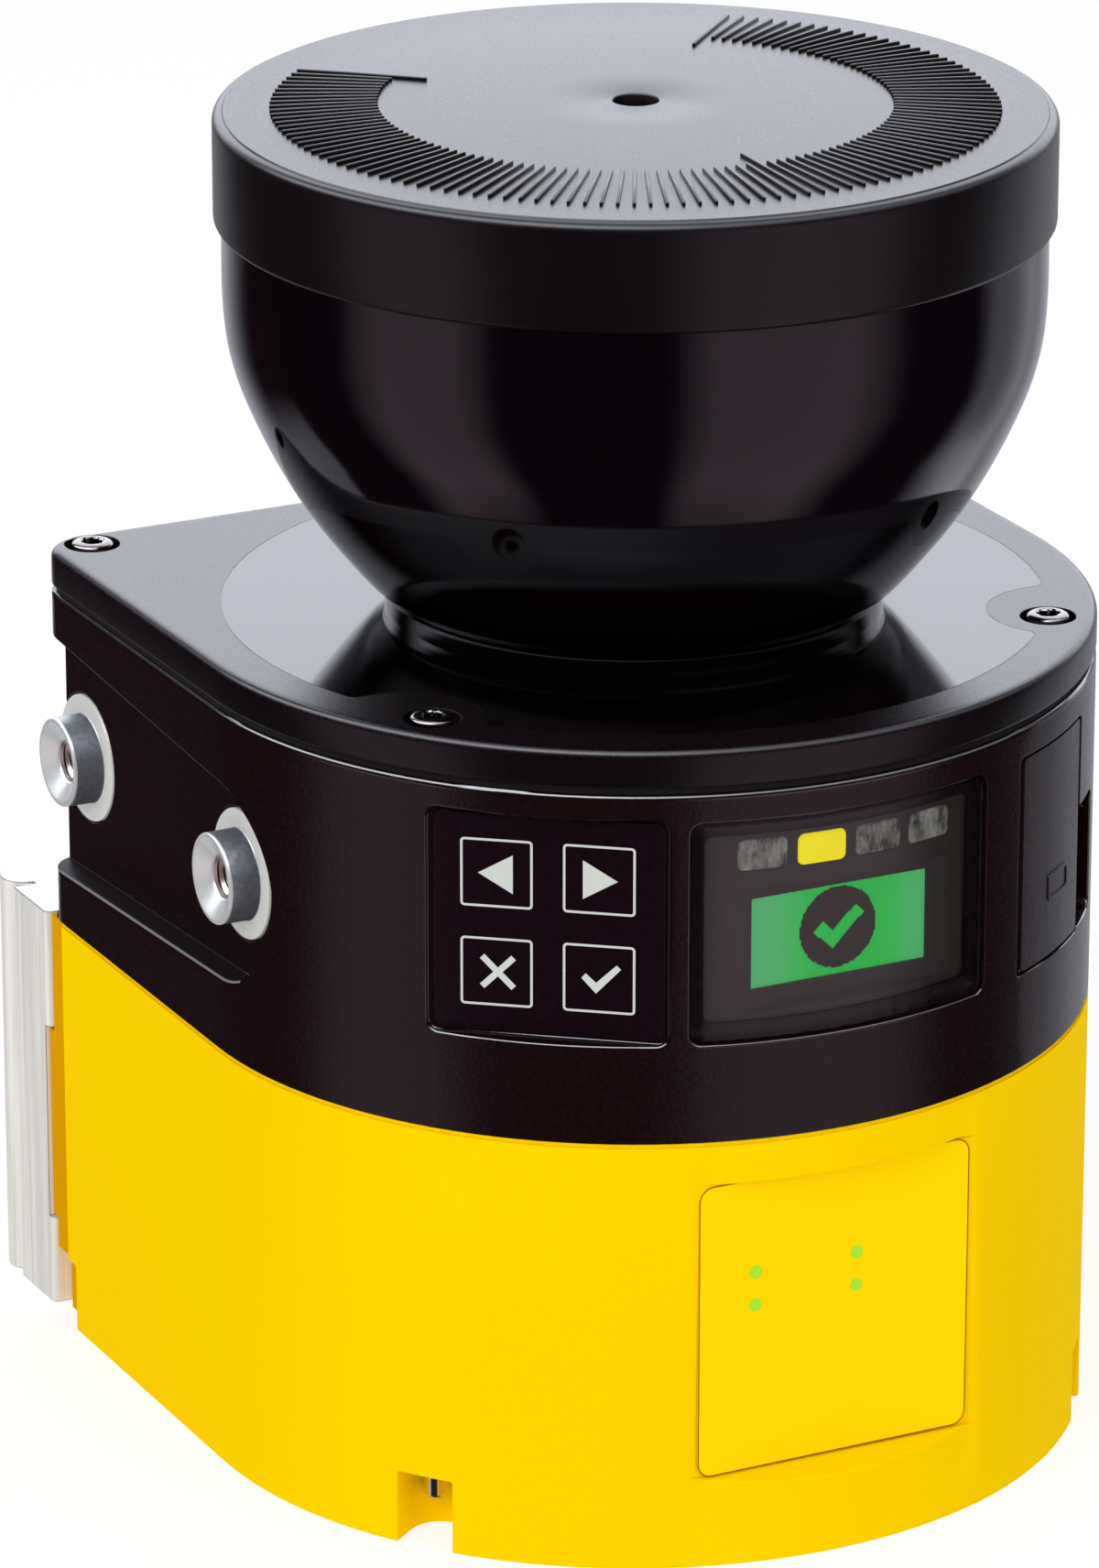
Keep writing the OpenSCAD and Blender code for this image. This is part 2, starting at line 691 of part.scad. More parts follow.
module main_board() {
  color(pcb) {
    difference() {
      translate([-38, -27, 16]) cube([76, 68.5, 1.6]);
      each_xy(standoff_xy) cylinder(r = 1.6, h = 30);
    }
    translate([-12, -8, 17.4]) cube([20, 20, 2.4]);
    translate([14, -18, 17.4]) cube([10, 12, 3]);
    translate([-30, -10, 17.4]) cube([9, 9, 5]);
    for (x = [-26, -14, 16]) translate([x, 28, 17.4]) cylinder(r = 4, h = 10);
  }
}

module board_standoffs() {
  color(steel) each_xy(standoff_xy) {
    translate([0, 0, 3]) cylinder(r = 3, h = 13);
    translate([0, 0, 15]) cylinder(r = 1.5, h = 4);
    translate([0, 0, 17.6]) cylinder(r = 2.8, h = 1.8);
  }
}

// ---- optics and rotor -----------------------------------------------------

module optical_bench() {
  color([0.55, 0.56, 0.58]) difference() {
    union() {
      intersection() {
        translate([0, 0, 84]) cylinder(r = 43.5, h = 3);
        translate([-38, -34, 80]) cube([76, 90, 10]);
      }
      for (p = bench_screw_xy) translate([0, 0, 84]) linear_extrude(3) {
        translate(p) circle(4.6);
        rotate(atan2(p[1], p[0])) translate([20, -4.6]) square([norm(p) - 20, 9.2]);
      }
      translate([0, 0, 74]) cylinder(r = 14, h = 21);
    }
    translate([0, 0, 73]) cylinder(r = 9.2, h = 30);
    translate([0, 0, 91]) cylinder(r = 11, h = 10);
    translate([0, 0, 73]) cylinder(r = 11, h = 7);
    each_xy(bench_screw_xy) translate([0, 0, 80]) cylinder(r = 1.6, h = 10);
  }
}

module bench_screws() {
  color(steel) each_xy(bench_screw_xy) difference() {
    union() {
      translate([0, 0, 87]) cylinder(r = 2.75, h = 2.2);
      translate([0, 0, 76]) cylinder(r = 1.5, h = 11.5);
    }
    translate([0, 0, 87.8]) cylinder(r = 1.4, h = 3, $fn = 6);
  }
}

// Sealed ball bearing with its shield grooves
module bearing(z) {
  difference() {
    ring(8, 11, z, z + 4);
    ring(8.9, 10.1, z - 1, z + 0.3);
    ring(8.9, 10.1, z + 3.7, z + 5);
  }
}
module upper_bearing() { color(steel) bearing(91); }
module lower_bearing() { color(steel) bearing(76); }

module motor_stator() {
  color([0.62, 0.36, 0.16]) difference() {
    ring(14, 21, 87, 94.5);
    for (a = [0 : 40 : 320]) rotate(a) translate([17, -0.8, 86]) cube([6, 1.6, 10]);
  }
}

module encoder_sensor() {
  color([0.12, 0.12, 0.14]) difference() {
    translate([30, -4, 87]) cube([7.5, 8, 8]);
    translate([28, -6, 90.6]) cube([6.5, 12, 2.4]);
  }
}

module receiver_module() {
  color([0.20, 0.20, 0.22]) difference() {
    union() {
      translate([0, 0, 70]) cylinder(r = 14, h = 4);
      translate([0, 0, 56]) cylinder(r = 9, h = 15);
      translate([-12, -12, 54.5]) cube([24, 24, 1.6]);
    }
    translate([0, 0, 60]) cylinder(r = 6.5, h = 20);
  }
}
module receiver_lens() { color([0.70, 0.80, 0.90, 0.5]) ring(3, 6.5, 70, 72.5); }
module laser_tube() {
  color([0.72, 0.58, 0.25]) difference() {
    translate([0, 0, 60]) cylinder(r = 3, h = 33);
    translate([0, 0, 85]) cylinder(r = 2, h = 10);
  }
}

module rotor_shaft() {
  color(steel) {
    ring(6, 7.95, 75, 102);
    ring(6, 13, 100, 102);
  }
}

module motor_rotor() {
  color([0.35, 0.36, 0.38]) {
    ring(22, 25.5, 88, 99);
    ring(7.95, 25.5, 98, 100);
  }
}

module encoder_disc() { color([0.60, 0.65, 0.70]) ring(25.5, 33, 91.5, 92.1); }

module scan_head() {
  color([0.18, 0.18, 0.19]) {
    difference() {
      union() {
        translate([0, 0, 102]) cylinder(r = 24.5, h = 3);
        intersection() {
          for (s = [-1, 1]) translate([s * 20.25 - 1.25, -14, 104]) cube([2.5, 28, 39]);
          translate([0, 0, 100]) cylinder(r = 25.5, h = 60);
        }
        translate([0, 0, 142]) cylinder(r = 25.5, h = 3);
      }
      translate([0, 0, 100]) cylinder(r = 9, h = 6);
      translate([0, 0, 141]) cylinder(r = 6, h = 6);
    }
  }
}

module scan_mirror() {
  color([0.85, 0.87, 0.90]) intersection() {
    translate([0, 0, 123]) rotate([45, 0, 0]) cube([38, 60, 3], center = true);
    translate([-19, -13.5, 100]) cube([38, 27, 60]);
  }
}

lower_housing();
upper_housing();
housing_seal();
housing_screws();
locating_pins();
optics_cover();
cover_seal();
cover_screws();
optics_lid();
left_bushes();
right_bushes();
keypad_film();
left_key();
right_key();
back_key();
confirm_key();
key_board();
display_window();
display_carrier();
indicator_lenses();
display_screen();
display_board();
usb_cover();
usb_hinge_pin();
usb_socket();
status_label();
status_light_guides();
system_plug();
plug_seal();
plug_screws();
plug_header();
board_receptacle();
power_connector();
network_connectors();
interface_board();
main_board();
board_standoffs();
optical_bench();
bench_screws();
upper_bearing();
lower_bearing();
motor_stator();
encoder_sensor();
receiver_module();
receiver_lens();
laser_tube();
rotor_shaft();
motor_rotor();
encoder_disc();
scan_head();
scan_mirror();
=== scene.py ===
import bpy, bmesh, math
from mathutils import Vector, Matrix


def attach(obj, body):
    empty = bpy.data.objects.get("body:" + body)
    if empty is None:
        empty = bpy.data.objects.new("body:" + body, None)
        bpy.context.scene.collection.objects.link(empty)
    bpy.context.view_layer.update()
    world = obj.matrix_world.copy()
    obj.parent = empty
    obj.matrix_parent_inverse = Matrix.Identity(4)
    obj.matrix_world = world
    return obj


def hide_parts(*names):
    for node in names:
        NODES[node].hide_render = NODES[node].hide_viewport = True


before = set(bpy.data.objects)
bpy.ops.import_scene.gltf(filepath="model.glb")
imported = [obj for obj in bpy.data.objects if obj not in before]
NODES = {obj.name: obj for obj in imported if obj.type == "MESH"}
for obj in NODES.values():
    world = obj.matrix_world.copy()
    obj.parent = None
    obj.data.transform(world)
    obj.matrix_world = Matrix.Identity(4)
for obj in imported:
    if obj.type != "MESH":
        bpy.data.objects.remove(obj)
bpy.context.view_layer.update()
scene = bpy.context.scene
MM = 0.001
pi = math.pi


def rad(a): return a * pi / 180.0


def srgb(r, g, b):
    def f(c):
        c = c / 255.0
        return c / 12.92 if c <= 0.04045 else ((c + 0.055) / 1.055) ** 2.4
    return (f(r), f(g), f(b), 1.0)


# ------------------------------------------------------------------ materials

class Mat:
    """Small builder for a node material."""

    def __init__(self, name):
        self.m = bpy.data.materials.new(name)
        self.m.use_nodes = True
        self.t = self.m.node_tree
        self.b = self.t.nodes["Principled BSDF"]
        self.tc = self.t.nodes.new("ShaderNodeTexCoord")

    def set(self, **kw):
        names = {"color": "Base Color", "rough": "Roughness", "metal": "Metallic", "spec": "Specular IOR Level",
                 "coat": "Coat Weight", "coat_rough": "Coat Roughness", "ior": "IOR", "emit": "Emission Color",
                 "emit_s": "Emission Strength", "trans": "Transmission Weight", "alpha": "Alpha",
                 "sss": "Subsurface Weight", "aniso": "Anisotropic", "sheen": "Sheen Weight"}
        for k, v in kw.items():
            self.b.inputs[names[k]].default_value = v
        return self

    def node(self, kind, **kw):
        n = self.t.nodes.new(kind)
        for k, v in kw.items():
            if k in n.inputs:
                n.inputs[k].default_value = v
            else:
                setattr(n, k, v)
        return n

    def link(self, a, b):
        self.t.links.new(a, b)

    def coords(self, scale=(1, 1, 1), rot=(0, 0, 0)):
        mp = self.node("ShaderNodeMapping")
        mp.inputs["Scale"].default_value = scale
        mp.inputs["Rotation"].default_value = rot
        self.link(self.tc.outputs["Object"], mp.inputs["Vector"])
        return mp.outputs["Vector"]

    def noise(self, scale, detail=2.0, rough=0.5, vec=None):
        n = self.node("ShaderNodeTexNoise")
        n.inputs["Scale"].default_value = scale
        n.inputs["Detail"].default_value = detail
        n.inputs["Roughness"].default_value = rough
        self.link(vec if vec is not None else self.tc.outputs["Object"], n.inputs["Vector"])
        return n.outputs["Fac"]

    def ramp(self, fac, lo, hi, a=0.0, b=1.0):
        """Maps fac from lo..hi to a..b, clamped."""
        n = self.node("ShaderNodeMapRange")
        n.inputs["From Min"].default_value = lo
        n.inputs["From Max"].default_value = hi
        n.inputs["To Min"].default_value = a
        n.inputs["To Max"].default_value = b
        self.link(fac, n.inputs["Value"])
        return n.outputs["Result"]

    def mix(self, fac, ca, cb):
        n = self.node("ShaderNodeMix")
        n.data_type = "RGBA"
        for s, v in ((n.inputs[6], ca), (n.inputs[7], cb)):
            if hasattr(v, "default_value") or hasattr(v, "is_output"):
                self.link(v, s)
            else:
                s.default_value = v
        if hasattr(fac, "is_output"):
            self.link(fac, n.inputs[0])
        else:
            n.inputs[0].default_value = fac
        return n.outputs[2]

    def math(self, op, a, b=0.0, c=0.0):
        n = self.node("ShaderNodeMath")
        n.operation = op
        for i, v in enumerate((a, b, c)):
            if hasattr(v, "is_output"):
                self.link(v, n.inputs[i])
            else:
                n.inputs[i].default_value = v
        return n.outputs[0]

    def color_from(self, out):
        self.link(out, self.b.inputs["Base Color"])

    def rough_from(self, out):
        self.link(out, self.b.inputs["Roughness"])

    def bump(self, height, strength=0.2, dist=0.0001, prev=None):
        n = self.node("ShaderNodeBump")
        n.inputs["Strength"].default_value = strength
        n.inputs["Distance"].default_value = dist
        self.link(height, n.inputs["Height"])
        if prev is not None:
            self.link(prev, n.inputs["Normal"])
        self.link(n.outputs["Normal"], self.b.inputs["Normal"])
        return n.outputs["Normal"]


def coated(name, col, col2, rough, peel=900, peel_s=0.35, coat=0.0, spec=0.5, grain=3500, fleck=0.0, metal=0.0):
    """Powder-coated metal or textured moulded plastic: orange peel, fine grain, slow colour drift."""
    m = Mat(name)
    slow = m.noise(14, 2, 0.5)
    mid = m.noise(peel, 2, 0.55)
    fine = m.noise(grain, 2, 0.5)
    tone = m.mix(m.ramp(slow, 0.35, 0.65), col, col2)
    if fleck:
        light = tuple(v * (1 + fleck) + 0.004 * fleck for v in col[:3]) + (1.0,)
        tone = m.mix(m.ramp(mid, 0.42, 0.66, 0.0, 1.0), tone, light)
    m.color_from(tone)
    m.rough_from(m.ramp(fine, 0.3, 0.7, rough - 0.05, rough + 0.06))
    n1 = m.bump(mid, peel_s, 0.00006)
    m.bump(fine, 0.12, 0.00002, n1)
    m.set(coat=coat, coat_rough=0.15, spec=spec, metal=metal)
    return m.m


M = {}
M["yellow"] = coated("yellow_coat", srgb(255, 212, 0), srgb(253, 208, 0), 0.32, peel=900, peel_s=0.4, spec=0.0, metal=0.05)
M["black"] = coated("black_coat", srgb(20, 5, 7), srgb(16, 4, 5), 0.22, peel=2200, peel_s=0.42, spec=0.36, fleck=0.25)
# darker, more orange copy of the yellow coat: painted shade for the recessed rear strip of the sides
M["yellow_thin"] = coated("yellow_coat_painted_shade", srgb(226, 160, 0), srgb(221, 155, 0), 0.34, peel=900, peel_s=0.4, spec=0.0, metal=0.05)
M["black_edge"] = coated("black_coat_edge", srgb(18, 7, 8), srgb(15, 6, 7), 0.12, peel=2200, peel_s=0.12, spec=1.0)
M["lid"] = coated("lid_satin", srgb(9, 4, 6), srgb(7, 4, 5), 0.32, peel=1500, peel_s=0.06, grain=5200, spec=0.42)
M["flange_matte"] = coated("flange_satin", srgb(9, 3, 5), srgb(7, 3, 4), 0.28, peel=1500, peel_s=0.05, grain=5200, spec=0.42)


def gloss_black():
    m = Mat("optics_gloss")
    slow = m.noise(9, 2, 0.5)
    m.color_from(m.mix(m.ramp(slow, 0.35, 0.65), srgb(6, 2, 5), srgb(5, 2, 4)))
    m.rough_from(m.ramp(m.noise(60, 3, 0.6), 0.3, 0.7, 0.05, 0.085))
    m.bump(m.noise(45, 2, 0.5), 0.03, 0.0002)
    m.set(spec=0.5, coat=0.0)
    return m.m


M["gloss"] = gloss_black()


def rubber():
    m = Mat("seal_rubber")
    m.color_from(m.mix(m.noise(300, 3), srgb(14, 13, 13), srgb(24, 22, 22)))
    m.rough_from(m.ramp(m.noise(900, 2), 0.3, 0.7, 0.65, 0.85))
    m.bump(m.noise(2500, 2), 0.2, 0.00005)
    m.set(spec=0.25)
    return m.m


M["rubber"] = rubber()


def metal(name, col, rough, brush=None, scale=2600, drift=0.06, spec_bump=0.12, pure=1.0, spread=1.0):
    """Bare metal. brush is the axis that the brushing runs along, or None for a turned or plain finish."""
    m = Mat(name)
    if brush is None:
        vec = m.coords((1, 1, 1))
        n1 = m.noise(scale, 2, 0.5, vec)
    else:
        s = [1, 1, 1]
        s["xyz".index(brush)] = 0.02
        n1 = m.noise(scale, 3, 0.6, m.coords(tuple(s)))
    slow = m.noise(25, 2)
    c2 = tuple(max(0, v * (1 - drift * 2)) for v in col[:3]) + (1.0,)
    m.color_from(m.mix(m.ramp(n1, 0.35, 0.65), c2, col))
    m.rough_from(m.ramp(m.math("ADD", n1, slow), 0.7, 1.3, max(rough - 0.08 * spread, 0.03), rough + 0.1 * spread))
    m.bump(n1, spec_bump, 0.00003)
    m.set(metal=pure)
    return m.m


M["alu_turned"] = metal("turned_aluminium", srgb(228, 230, 228), 0.36, None, 700, 0.02, 0.0, 0.5, 0.2)
# darker copy of the turned aluminium: painted shade on the sides of the bush collars
M["alu_side_shade"] = metal("turned_aluminium_side_shade", srgb(168, 173, 180), 0.42, None, 1600, 0.10, 0.05, 0.8)
# lighter, more diffuse copy of the turned aluminium: painted light on the bush flanges
M["alu_flange_lit"] = metal("turned_aluminium_flange_lit", srgb(250, 250, 243), 0.40, None, 900, 0.01, 0.0, 0.3, 0.2)
M["thread"] = metal("cut_thread", srgb(225, 210, 198), 0.34, None, 900, 0.02, 0.0, 1.0, 0.2)
M["alu_brushed"] = metal("brushed_aluminium", srgb(253, 251, 244), 0.36, "z", 1200, 0.11, 0.4, 0.16)
M["alu_edge"] = metal("brushed_aluminium_edge", srgb(150, 152, 158), 0.36, "z", 1300, 0.08, 0.2, 0.5)
M["alu_cast"] = metal("cast_aluminium", srgb(150, 151, 154), 0.5, None, 900, 0.08, 0.3)
M["steel"] = metal("screw_steel", srgb(150, 150, 154), 0.26, None, 2500, 0.08, 0.06)
M["steel_dark"] = metal("polished_screw", srgb(124, 119, 117), 0.17, None, 1800, 0.08, 0.05)
M["chrome"] = metal("polished_pin", srgb(232, 234, 238), 0.12, None, 900, 0.03, 0.02)
M["brass"] = metal("brass", srgb(202, 165, 92), 0.28, None, 1500, 0.06, 0.05)
M["rotor"] = metal("rotor_steel", srgb(108, 110, 116), 0.32, None, 1500, 0.06, 0.06)
M["nickel"] = metal("nickel_plate", srgb(188, 190, 194), 0.22, None, 1800, 0.05, 0.04)
M["copper"] = metal("enamelled_wire", srgb(176, 98, 48), 0.3, "z", 2600, 0.12, 0.3)
M["mirror"] = metal("silvered_mirror", srgb(236, 239, 244), 0.05, None, 300, 0.01, 0.0)


def plastic(name, col, rough=0.5, spec=0.5, grain=2600, drift=1.15, bump=0.12, coat=0.0):
    m = Mat(name)
    c2 = tuple(min(1, v * drift) for v in col[:3]) + (1.0,)
    m.color_from(m.mix(m.ramp(m.noise(40, 3), 0.35, 0.65), col, c2))
    m.rough_from(m.ramp(m.noise(grain, 2), 0.3, 0.7, rough - 0.05, rough + 0.07))
    m.bump(m.noise(grain, 2), bump, 0.00003)
    m.set(spec=spec, coat=coat)
    return m.m


M["film"] = plastic("keypad_film", srgb(19, 4, 12), 0.3, 0.25, 1200, 1.08, 0.03)
M["print"] = plastic("printed_ink", srgb(198, 202, 195), 0.45, 0.2, 2500, 1.03, 0.04)
M["carrier"] = plastic("display_carrier", srgb(66, 59, 56), 0.42, 0.3, 1800, 1.12, 0.1)
# darker, duller black: painted shade on the floors of the side-pocket ledges
M["pocket"] = coated("pocket_paint", srgb(9, 5, 6), srgb(7, 4, 5), 0.45, peel=2200, peel_s=0.2, spec=0.06)
# light grey: painted highlight along the rounded outer edges of the side-pocket ledges
M["edge_line"] = coated("pocket_paint_edge", srgb(118, 112, 112), srgb(104, 98, 98), 0.4, peel=2200, peel_s=0.1, spec=0.3)
M["flap_edge"] = coated("flap_plastic_edge", srgb(27, 17, 20), srgb(24, 15, 18), 0.12, peel=1300, peel_s=0.1, spec=0.6)
# lighter copy of the carrier colour: painted highlight on the carrier's rounded edges
M["carrier_edge"] = plastic("display_carrier_edge", srgb(104, 98, 92), 0.25, 0.6, 1800, 1.1, 0.05)
M["flap"] = coated("flap_plastic", srgb(31, 21, 24), srgb(27, 18, 21), 0.30, peel=1300, peel_s=0.3, spec=0.35, fleck=0.3)
M["dark_plastic"] = plastic("dark_plastic", srgb(26, 25, 27), 0.5, 0.3)
M["inner_plastic"] = plastic("inner_plastic", srgb(52, 52, 55), 0.5)
M["pcb"] = plastic("solder_mask", srgb(22, 86, 48), 0.35, 0.5, 900, 1.25, 0.1)
M["label"] = plastic("label_film", srgb(255, 215, 0), 0.34, 0.02, 900, 1.01, 0.04)
# brown: painted shadow of the gap around the label film
M["label_edge_shadow"] = plastic("label_edge_shadow", srgb(150, 96, 8), 0.5, 0.1)
M["dot_dark"] = plastic("mark_dark", srgb(22, 40, 30), 0.5, 0.2)
M["lcd_dark"] = plastic("screen_dark", srgb(66, 54, 50), 0.5, 0.2)
M["raised"] = plastic("raised_mark", srgb(96, 88, 88), 0.45, 0.3)


def lit(name, col, strength, rough=0.3):
    m = Mat(name)
    m.color_from(m.mix(m.noise(400, 2), col, tuple(v * 0.9 for v in col[:3]) + (1.0,)))
    m.rough_from(m.ramp(m.noise(900, 2), 0.3, 0.7, rough - 0.05, rough + 0.05))
    m.set(emit=col, emit_s=strength, spec=0.2)
    return m.m


M["guide"] = lit("light_guide", srgb(150, 205, 40), 0.34, 0.3)


def lamp_on():
    """Lit lens: even yellow with faint vertical facets."""
    m = Mat("lamp_on")
    n = m.noise(500, 2, 0.5, m.coords((1, 1, 0.15)))
    col = m.mix(m.ramp(n, 0.35, 0.65), srgb(248, 230, 0), srgb(250, 238, 0))
    m.color_from(col)
    m.link(col, m.b.inputs["Emission Color"])
    m.rough_from(m.ramp(n, 0.3, 0.7, 0.2, 0.3))
    m.set(emit_s=0.95, spec=0.2)
    return m.m


M["lamp_on"] = lamp_on()


def glass():
    m = Mat("smoked_window")
    m.set(alpha=0.26, ior=1.9, spec=0.5)
    m.rough_from(m.ramp(m.noise(300, 2), 0.3, 0.7, 0.04, 0.08))
    m.color_from(m.mix(m.noise(30, 2), srgb(20, 17, 17), srgb(26, 22, 22)))
    return m.m


M["glass"] = glass()


M["window_border"] = plastic("window_border", srgb(17, 9, 11), 0.22, 0.5, 900, 1.1, 0.03)


def clear_lens():
    m = Mat("clear_lens")
    m.set(color=(0.8, 0.88, 0.95, 1), rough=0.05, alpha=0.4)
    m.rough_from(m.ramp(m.noise(300, 2), 0.3, 0.7, 0.03, 0.07))
    return m.m


M["clear"] = clear_lens()


def frosted():
    """Unlit indicator lens: clear plastic over a faceted reflector; the facets' light and dark streaks are painted
    reflections in the colour.
    """
    m = Mat("frosted_lens")
    n = m.noise(330, 4, 0.62, m.coords((1.0, 1.0, 0.7), (0.0, 0.6, 0.4)))
    v = m.noise(1900, 2, 0.6, m.coords((1.0, 1.0, 0.35), (0.0, 0.7, 0.0)))
    # dark to light tones and the fine light streaks: painted reflections of the reflector facets
    col = m.mix(m.ramp(n, 0.38, 0.66), srgb(70, 68, 64), srgb(208, 210, 198))
    m.color_from(m.mix(m.ramp(v, 0.48, 0.64, 0.0, 0.35), col, srgb(228, 230, 216)))
    m.rough_from(m.ramp(v, 0.3, 0.7, 0.12, 0.3))
    m.bump(n, 0.6, 0.0002)
    m.set(spec=0.5)
    return m.m


M["frosted"] = frosted()


def screen():
    """Backlit screen: green, most saturated in the middle, with fine columns and soft vertical bands."""
    m = Mat("screen_green")
    sep = m.node("ShaderNodeSeparateXYZ")
    m.link(m.tc.outputs["Object"], sep.inputs[0])
    x = sep.outputs["X"]
    wave = m.math("SINE", m.math("MULTIPLY", x, 2 * pi / 0.00042))
    mid = m.math("ABSOLUTE", m.math("ADD", x, -0.0015))
    pure = m.ramp(mid, 0.0035, 0.0095, 1.0, 0.0)
    bands = m.noise(420, 2, 0.5, m.coords((1, 0.02, 0.02)))
    k = m.math("ADD", m.math("MULTIPLY", wave, 0.08), m.math("ADD", m.math("MULTIPLY", pure, 0.7), m.math("MULTIPLY", bands, 0.5)))
    col = m.mix(m.ramp(k, 0.1, 0.9), srgb(88, 186, 120), srgb(26, 190, 70))
    m.color_from(col)
    m.link(col, m.b.inputs["Emission Color"])
    m.rough_from(m.ramp(bands, 0.3, 0.7, 0.3, 0.4))
    m.set(emit_s=0.84, spec=0.2)
    return m.m


M["screen"] = screen()


# ------------------------------------------------------------------- geometry

def link(o):
    scene.collection.objects.link(o)
    return o


def mesh_obj(name, verts, faces, mats, face_mats=None, angle=35, body="housing"):
    me = bpy.data.meshes.new(name)
    me.from_pydata([tuple(c * MM for c in v) for v in verts], [], faces)
    for mt in (mats if isinstance(mats, (list, tuple)) else [mats]):
        me.materials.append(mt)
    if face_mats:
        for p, k in zip(me.polygons, face_mats):
            p.material_index = k
    me.validate()
    o = link(bpy.data.objects.new(name, me))
    shade(o, angle)
    return o


def shade(o, angle=35):
    """Smooth shading with edges sharper than angle kept sharp."""
    bm = bmesh.new()
    bm.from_mesh(o.data)
    bm.normal_update()
    lim = rad(angle)
    for f in bm.faces:
        f.smooth = True
    for e in bm.edges:
        e.smooth = len(e.link_faces) == 2 and e.calc_face_angle(0) <= lim
    bm.to_mesh(o.data)
    bm.free()


def recalc(o):
    bm = bmesh.new()
    bm.from_mesh(o.data)
    bmesh.ops.recalc_face_normals(bm, faces=bm.faces)
    bm.to_mesh(o.data)
    bm.free()


def place(o, body="housing", node=None):
    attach(o, body)
    if node:
        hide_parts(*( [node] if isinstance(node, str) else node))
    return o


def lathe_data(profile, segs, at=lambda r, a, h: (r * math.cos(a), r * math.sin(a), h)):
    """Closed or open profile [(r, h)] turned about an axis. Points with r == 0 become single poles."""
    verts, rings = [], []
    for r, h in profile:
        if r < 1e-9:
            rings.append([len(verts)])
            verts.append(at(0, 0, h))
        else:
            rings.append(list(range(len(verts), len(verts) + segs)))
            for i in range(segs):
                verts.append(at(r, 2 * pi * i / segs, h))
    faces = []
    for a, b in zip(rings, rings[1:]):
        for i in range(segs):
            j = (i + 1) % segs
            if len(a) == 1 and len(b) == 1:
                continue
            if len(a) == 1:
                faces.append((a[0], b[j], b[i]))
            elif len(b) == 1:
                faces.append((a[i], a[j], b[0]))
            else:
                faces.append((a[i], a[j], b[j], b[i]))
    return verts, faces


def lathe(name, profile, segs, mat, closed=False, angle=35, at=None):
    prof = list(profile) + ([profile[0]] if closed else [])
    kw = {} if at is None else {"at": at}
    v, f = lathe_data(prof, segs, **kw)
    o = mesh_obj(name, v, f, mat, angle=angle)
    bm = bmesh.new()
    bm.from_mesh(o.data)
    bmesh.ops.remove_doubles(bm, verts=bm.verts, dist=1e-7)
    bmesh.ops.recalc_face_normals(bm, faces=bm.faces)
    bm.to_mesh(o.data)
    bm.free()
    shade(o, angle)
    return o


def bevelled(node, name, mat, width=0.3, segs=2, limit=40, angle=30, body="housing", merge=0.002, replaces=True, special=None, edge=None, clamp=True):
    """A copy of a CAD node with its sharp edges rounded. special(a, b) may give another radius, in mm, for the edge from a to b."""
    src = NODES[node]
    me = src.data.copy()
    me.name = name
    o = link(bpy.data.objects.new(name, me))
    me.materials.clear()
    me.materials.append(mat)
    if edge:
        me.materials.append(edge)
    bm = bmesh.new()
    bm.from_mesh(me)
    for f in bm.faces:
        f.material_index = 0
    bmesh.ops.remove_doubles(bm, verts=bm.verts, dist=merge * MM)
    for e in bm.edges:
        e.smooth = True
    for f in bm.faces:
        f.smooth = True
    bmesh.ops.dissolve_limit(bm, angle_limit=rad(0.6), verts=bm.verts, edges=bm.edges)
    bmesh.ops.recalc_face_normals(bm, faces=bm.faces)
    big = 1.5
    lay = bm.edges.layers.float.get("bevel_weight_edge") or bm.edges.layers.float.new("bevel_weight_edge")
    for e in bm.edges:
        w = 0.0
        if len(e.link_faces) == 2 and e.calc_face_angle(0) > rad(limit):
            w = width
            if special:
                pa, pb = e.verts[0].co / MM, e.verts[1].co / MM
                k = special(pa, pb, e)
                w = width if k is None else k
        e[lay] = w / big
    bm.to_mesh(me)
    bm.free()
    md = o.modifiers.new("bevel", "BEVEL")
    md.width = big * MM
    md.segments = segs
    md.limit_method = "WEIGHT"
    md.use_clamp_overlap = clamp
    md.miter_outer = "MITER_ARC"
    md.harden_normals = False
    if edge:
        md.material = 1
    bake(o)
    shade(o, angle)
    wn = o.modifiers.new("normals", "WEIGHTED_NORMAL")
    wn.keep_sharp = True
    wn.weight = 60
    bake(o)
    if replaces:
        place(o, body, node)
    return o


def bake(o):
    """Applies every modifier of o."""
    bpy.context.view_layer.update()
    dg = bpy.context.evaluated_depsgraph_get()
    ev = o.evaluated_get(dg)
    me = bpy.data.meshes.new_from_object(ev, preserve_all_data_layers=True, depsgraph=dg)
    o.modifiers.clear()
    o.data = me


def arc(cx, cy, r, a0, a1, n):
    return [(cx + r * math.cos(rad(a0 + (a1 - a0) * i / n)), cy + r * math.sin(rad(a0 + (a1 - a0) * i / n))) for i in range(n + 1)]


def d_outline(i=0.0, n=120, nc=10, rc=5.5, w=55.0, ry=51.1):
    """D-shaped outline of the housing, counter-clockwise from the left end of the front arc, moved inwards by i."""
    r = max(rc - i, 0.5)
    w -= i
    y = ry - i
    pts = arc(0, 0, w, 180, 360, n)
    pts += arc(w - r, y - r, r, 0, 90, nc)
    pts += arc(-(w - r), y - r, r, 90, 180, nc)
    return pts


def rounded(w, h, r, n=5, cx=0.0, cy=0.0):
    a, b = w / 2 - r, h / 2 - r
    return (arc(cx + a, cy - b, r, -90, 0, n) + arc(cx + a, cy + b, r, 0, 90, n)
            + arc(cx - a, cy + b, r, 90, 180, n) + arc(cx - a, cy - b, r, 180, 270, n))


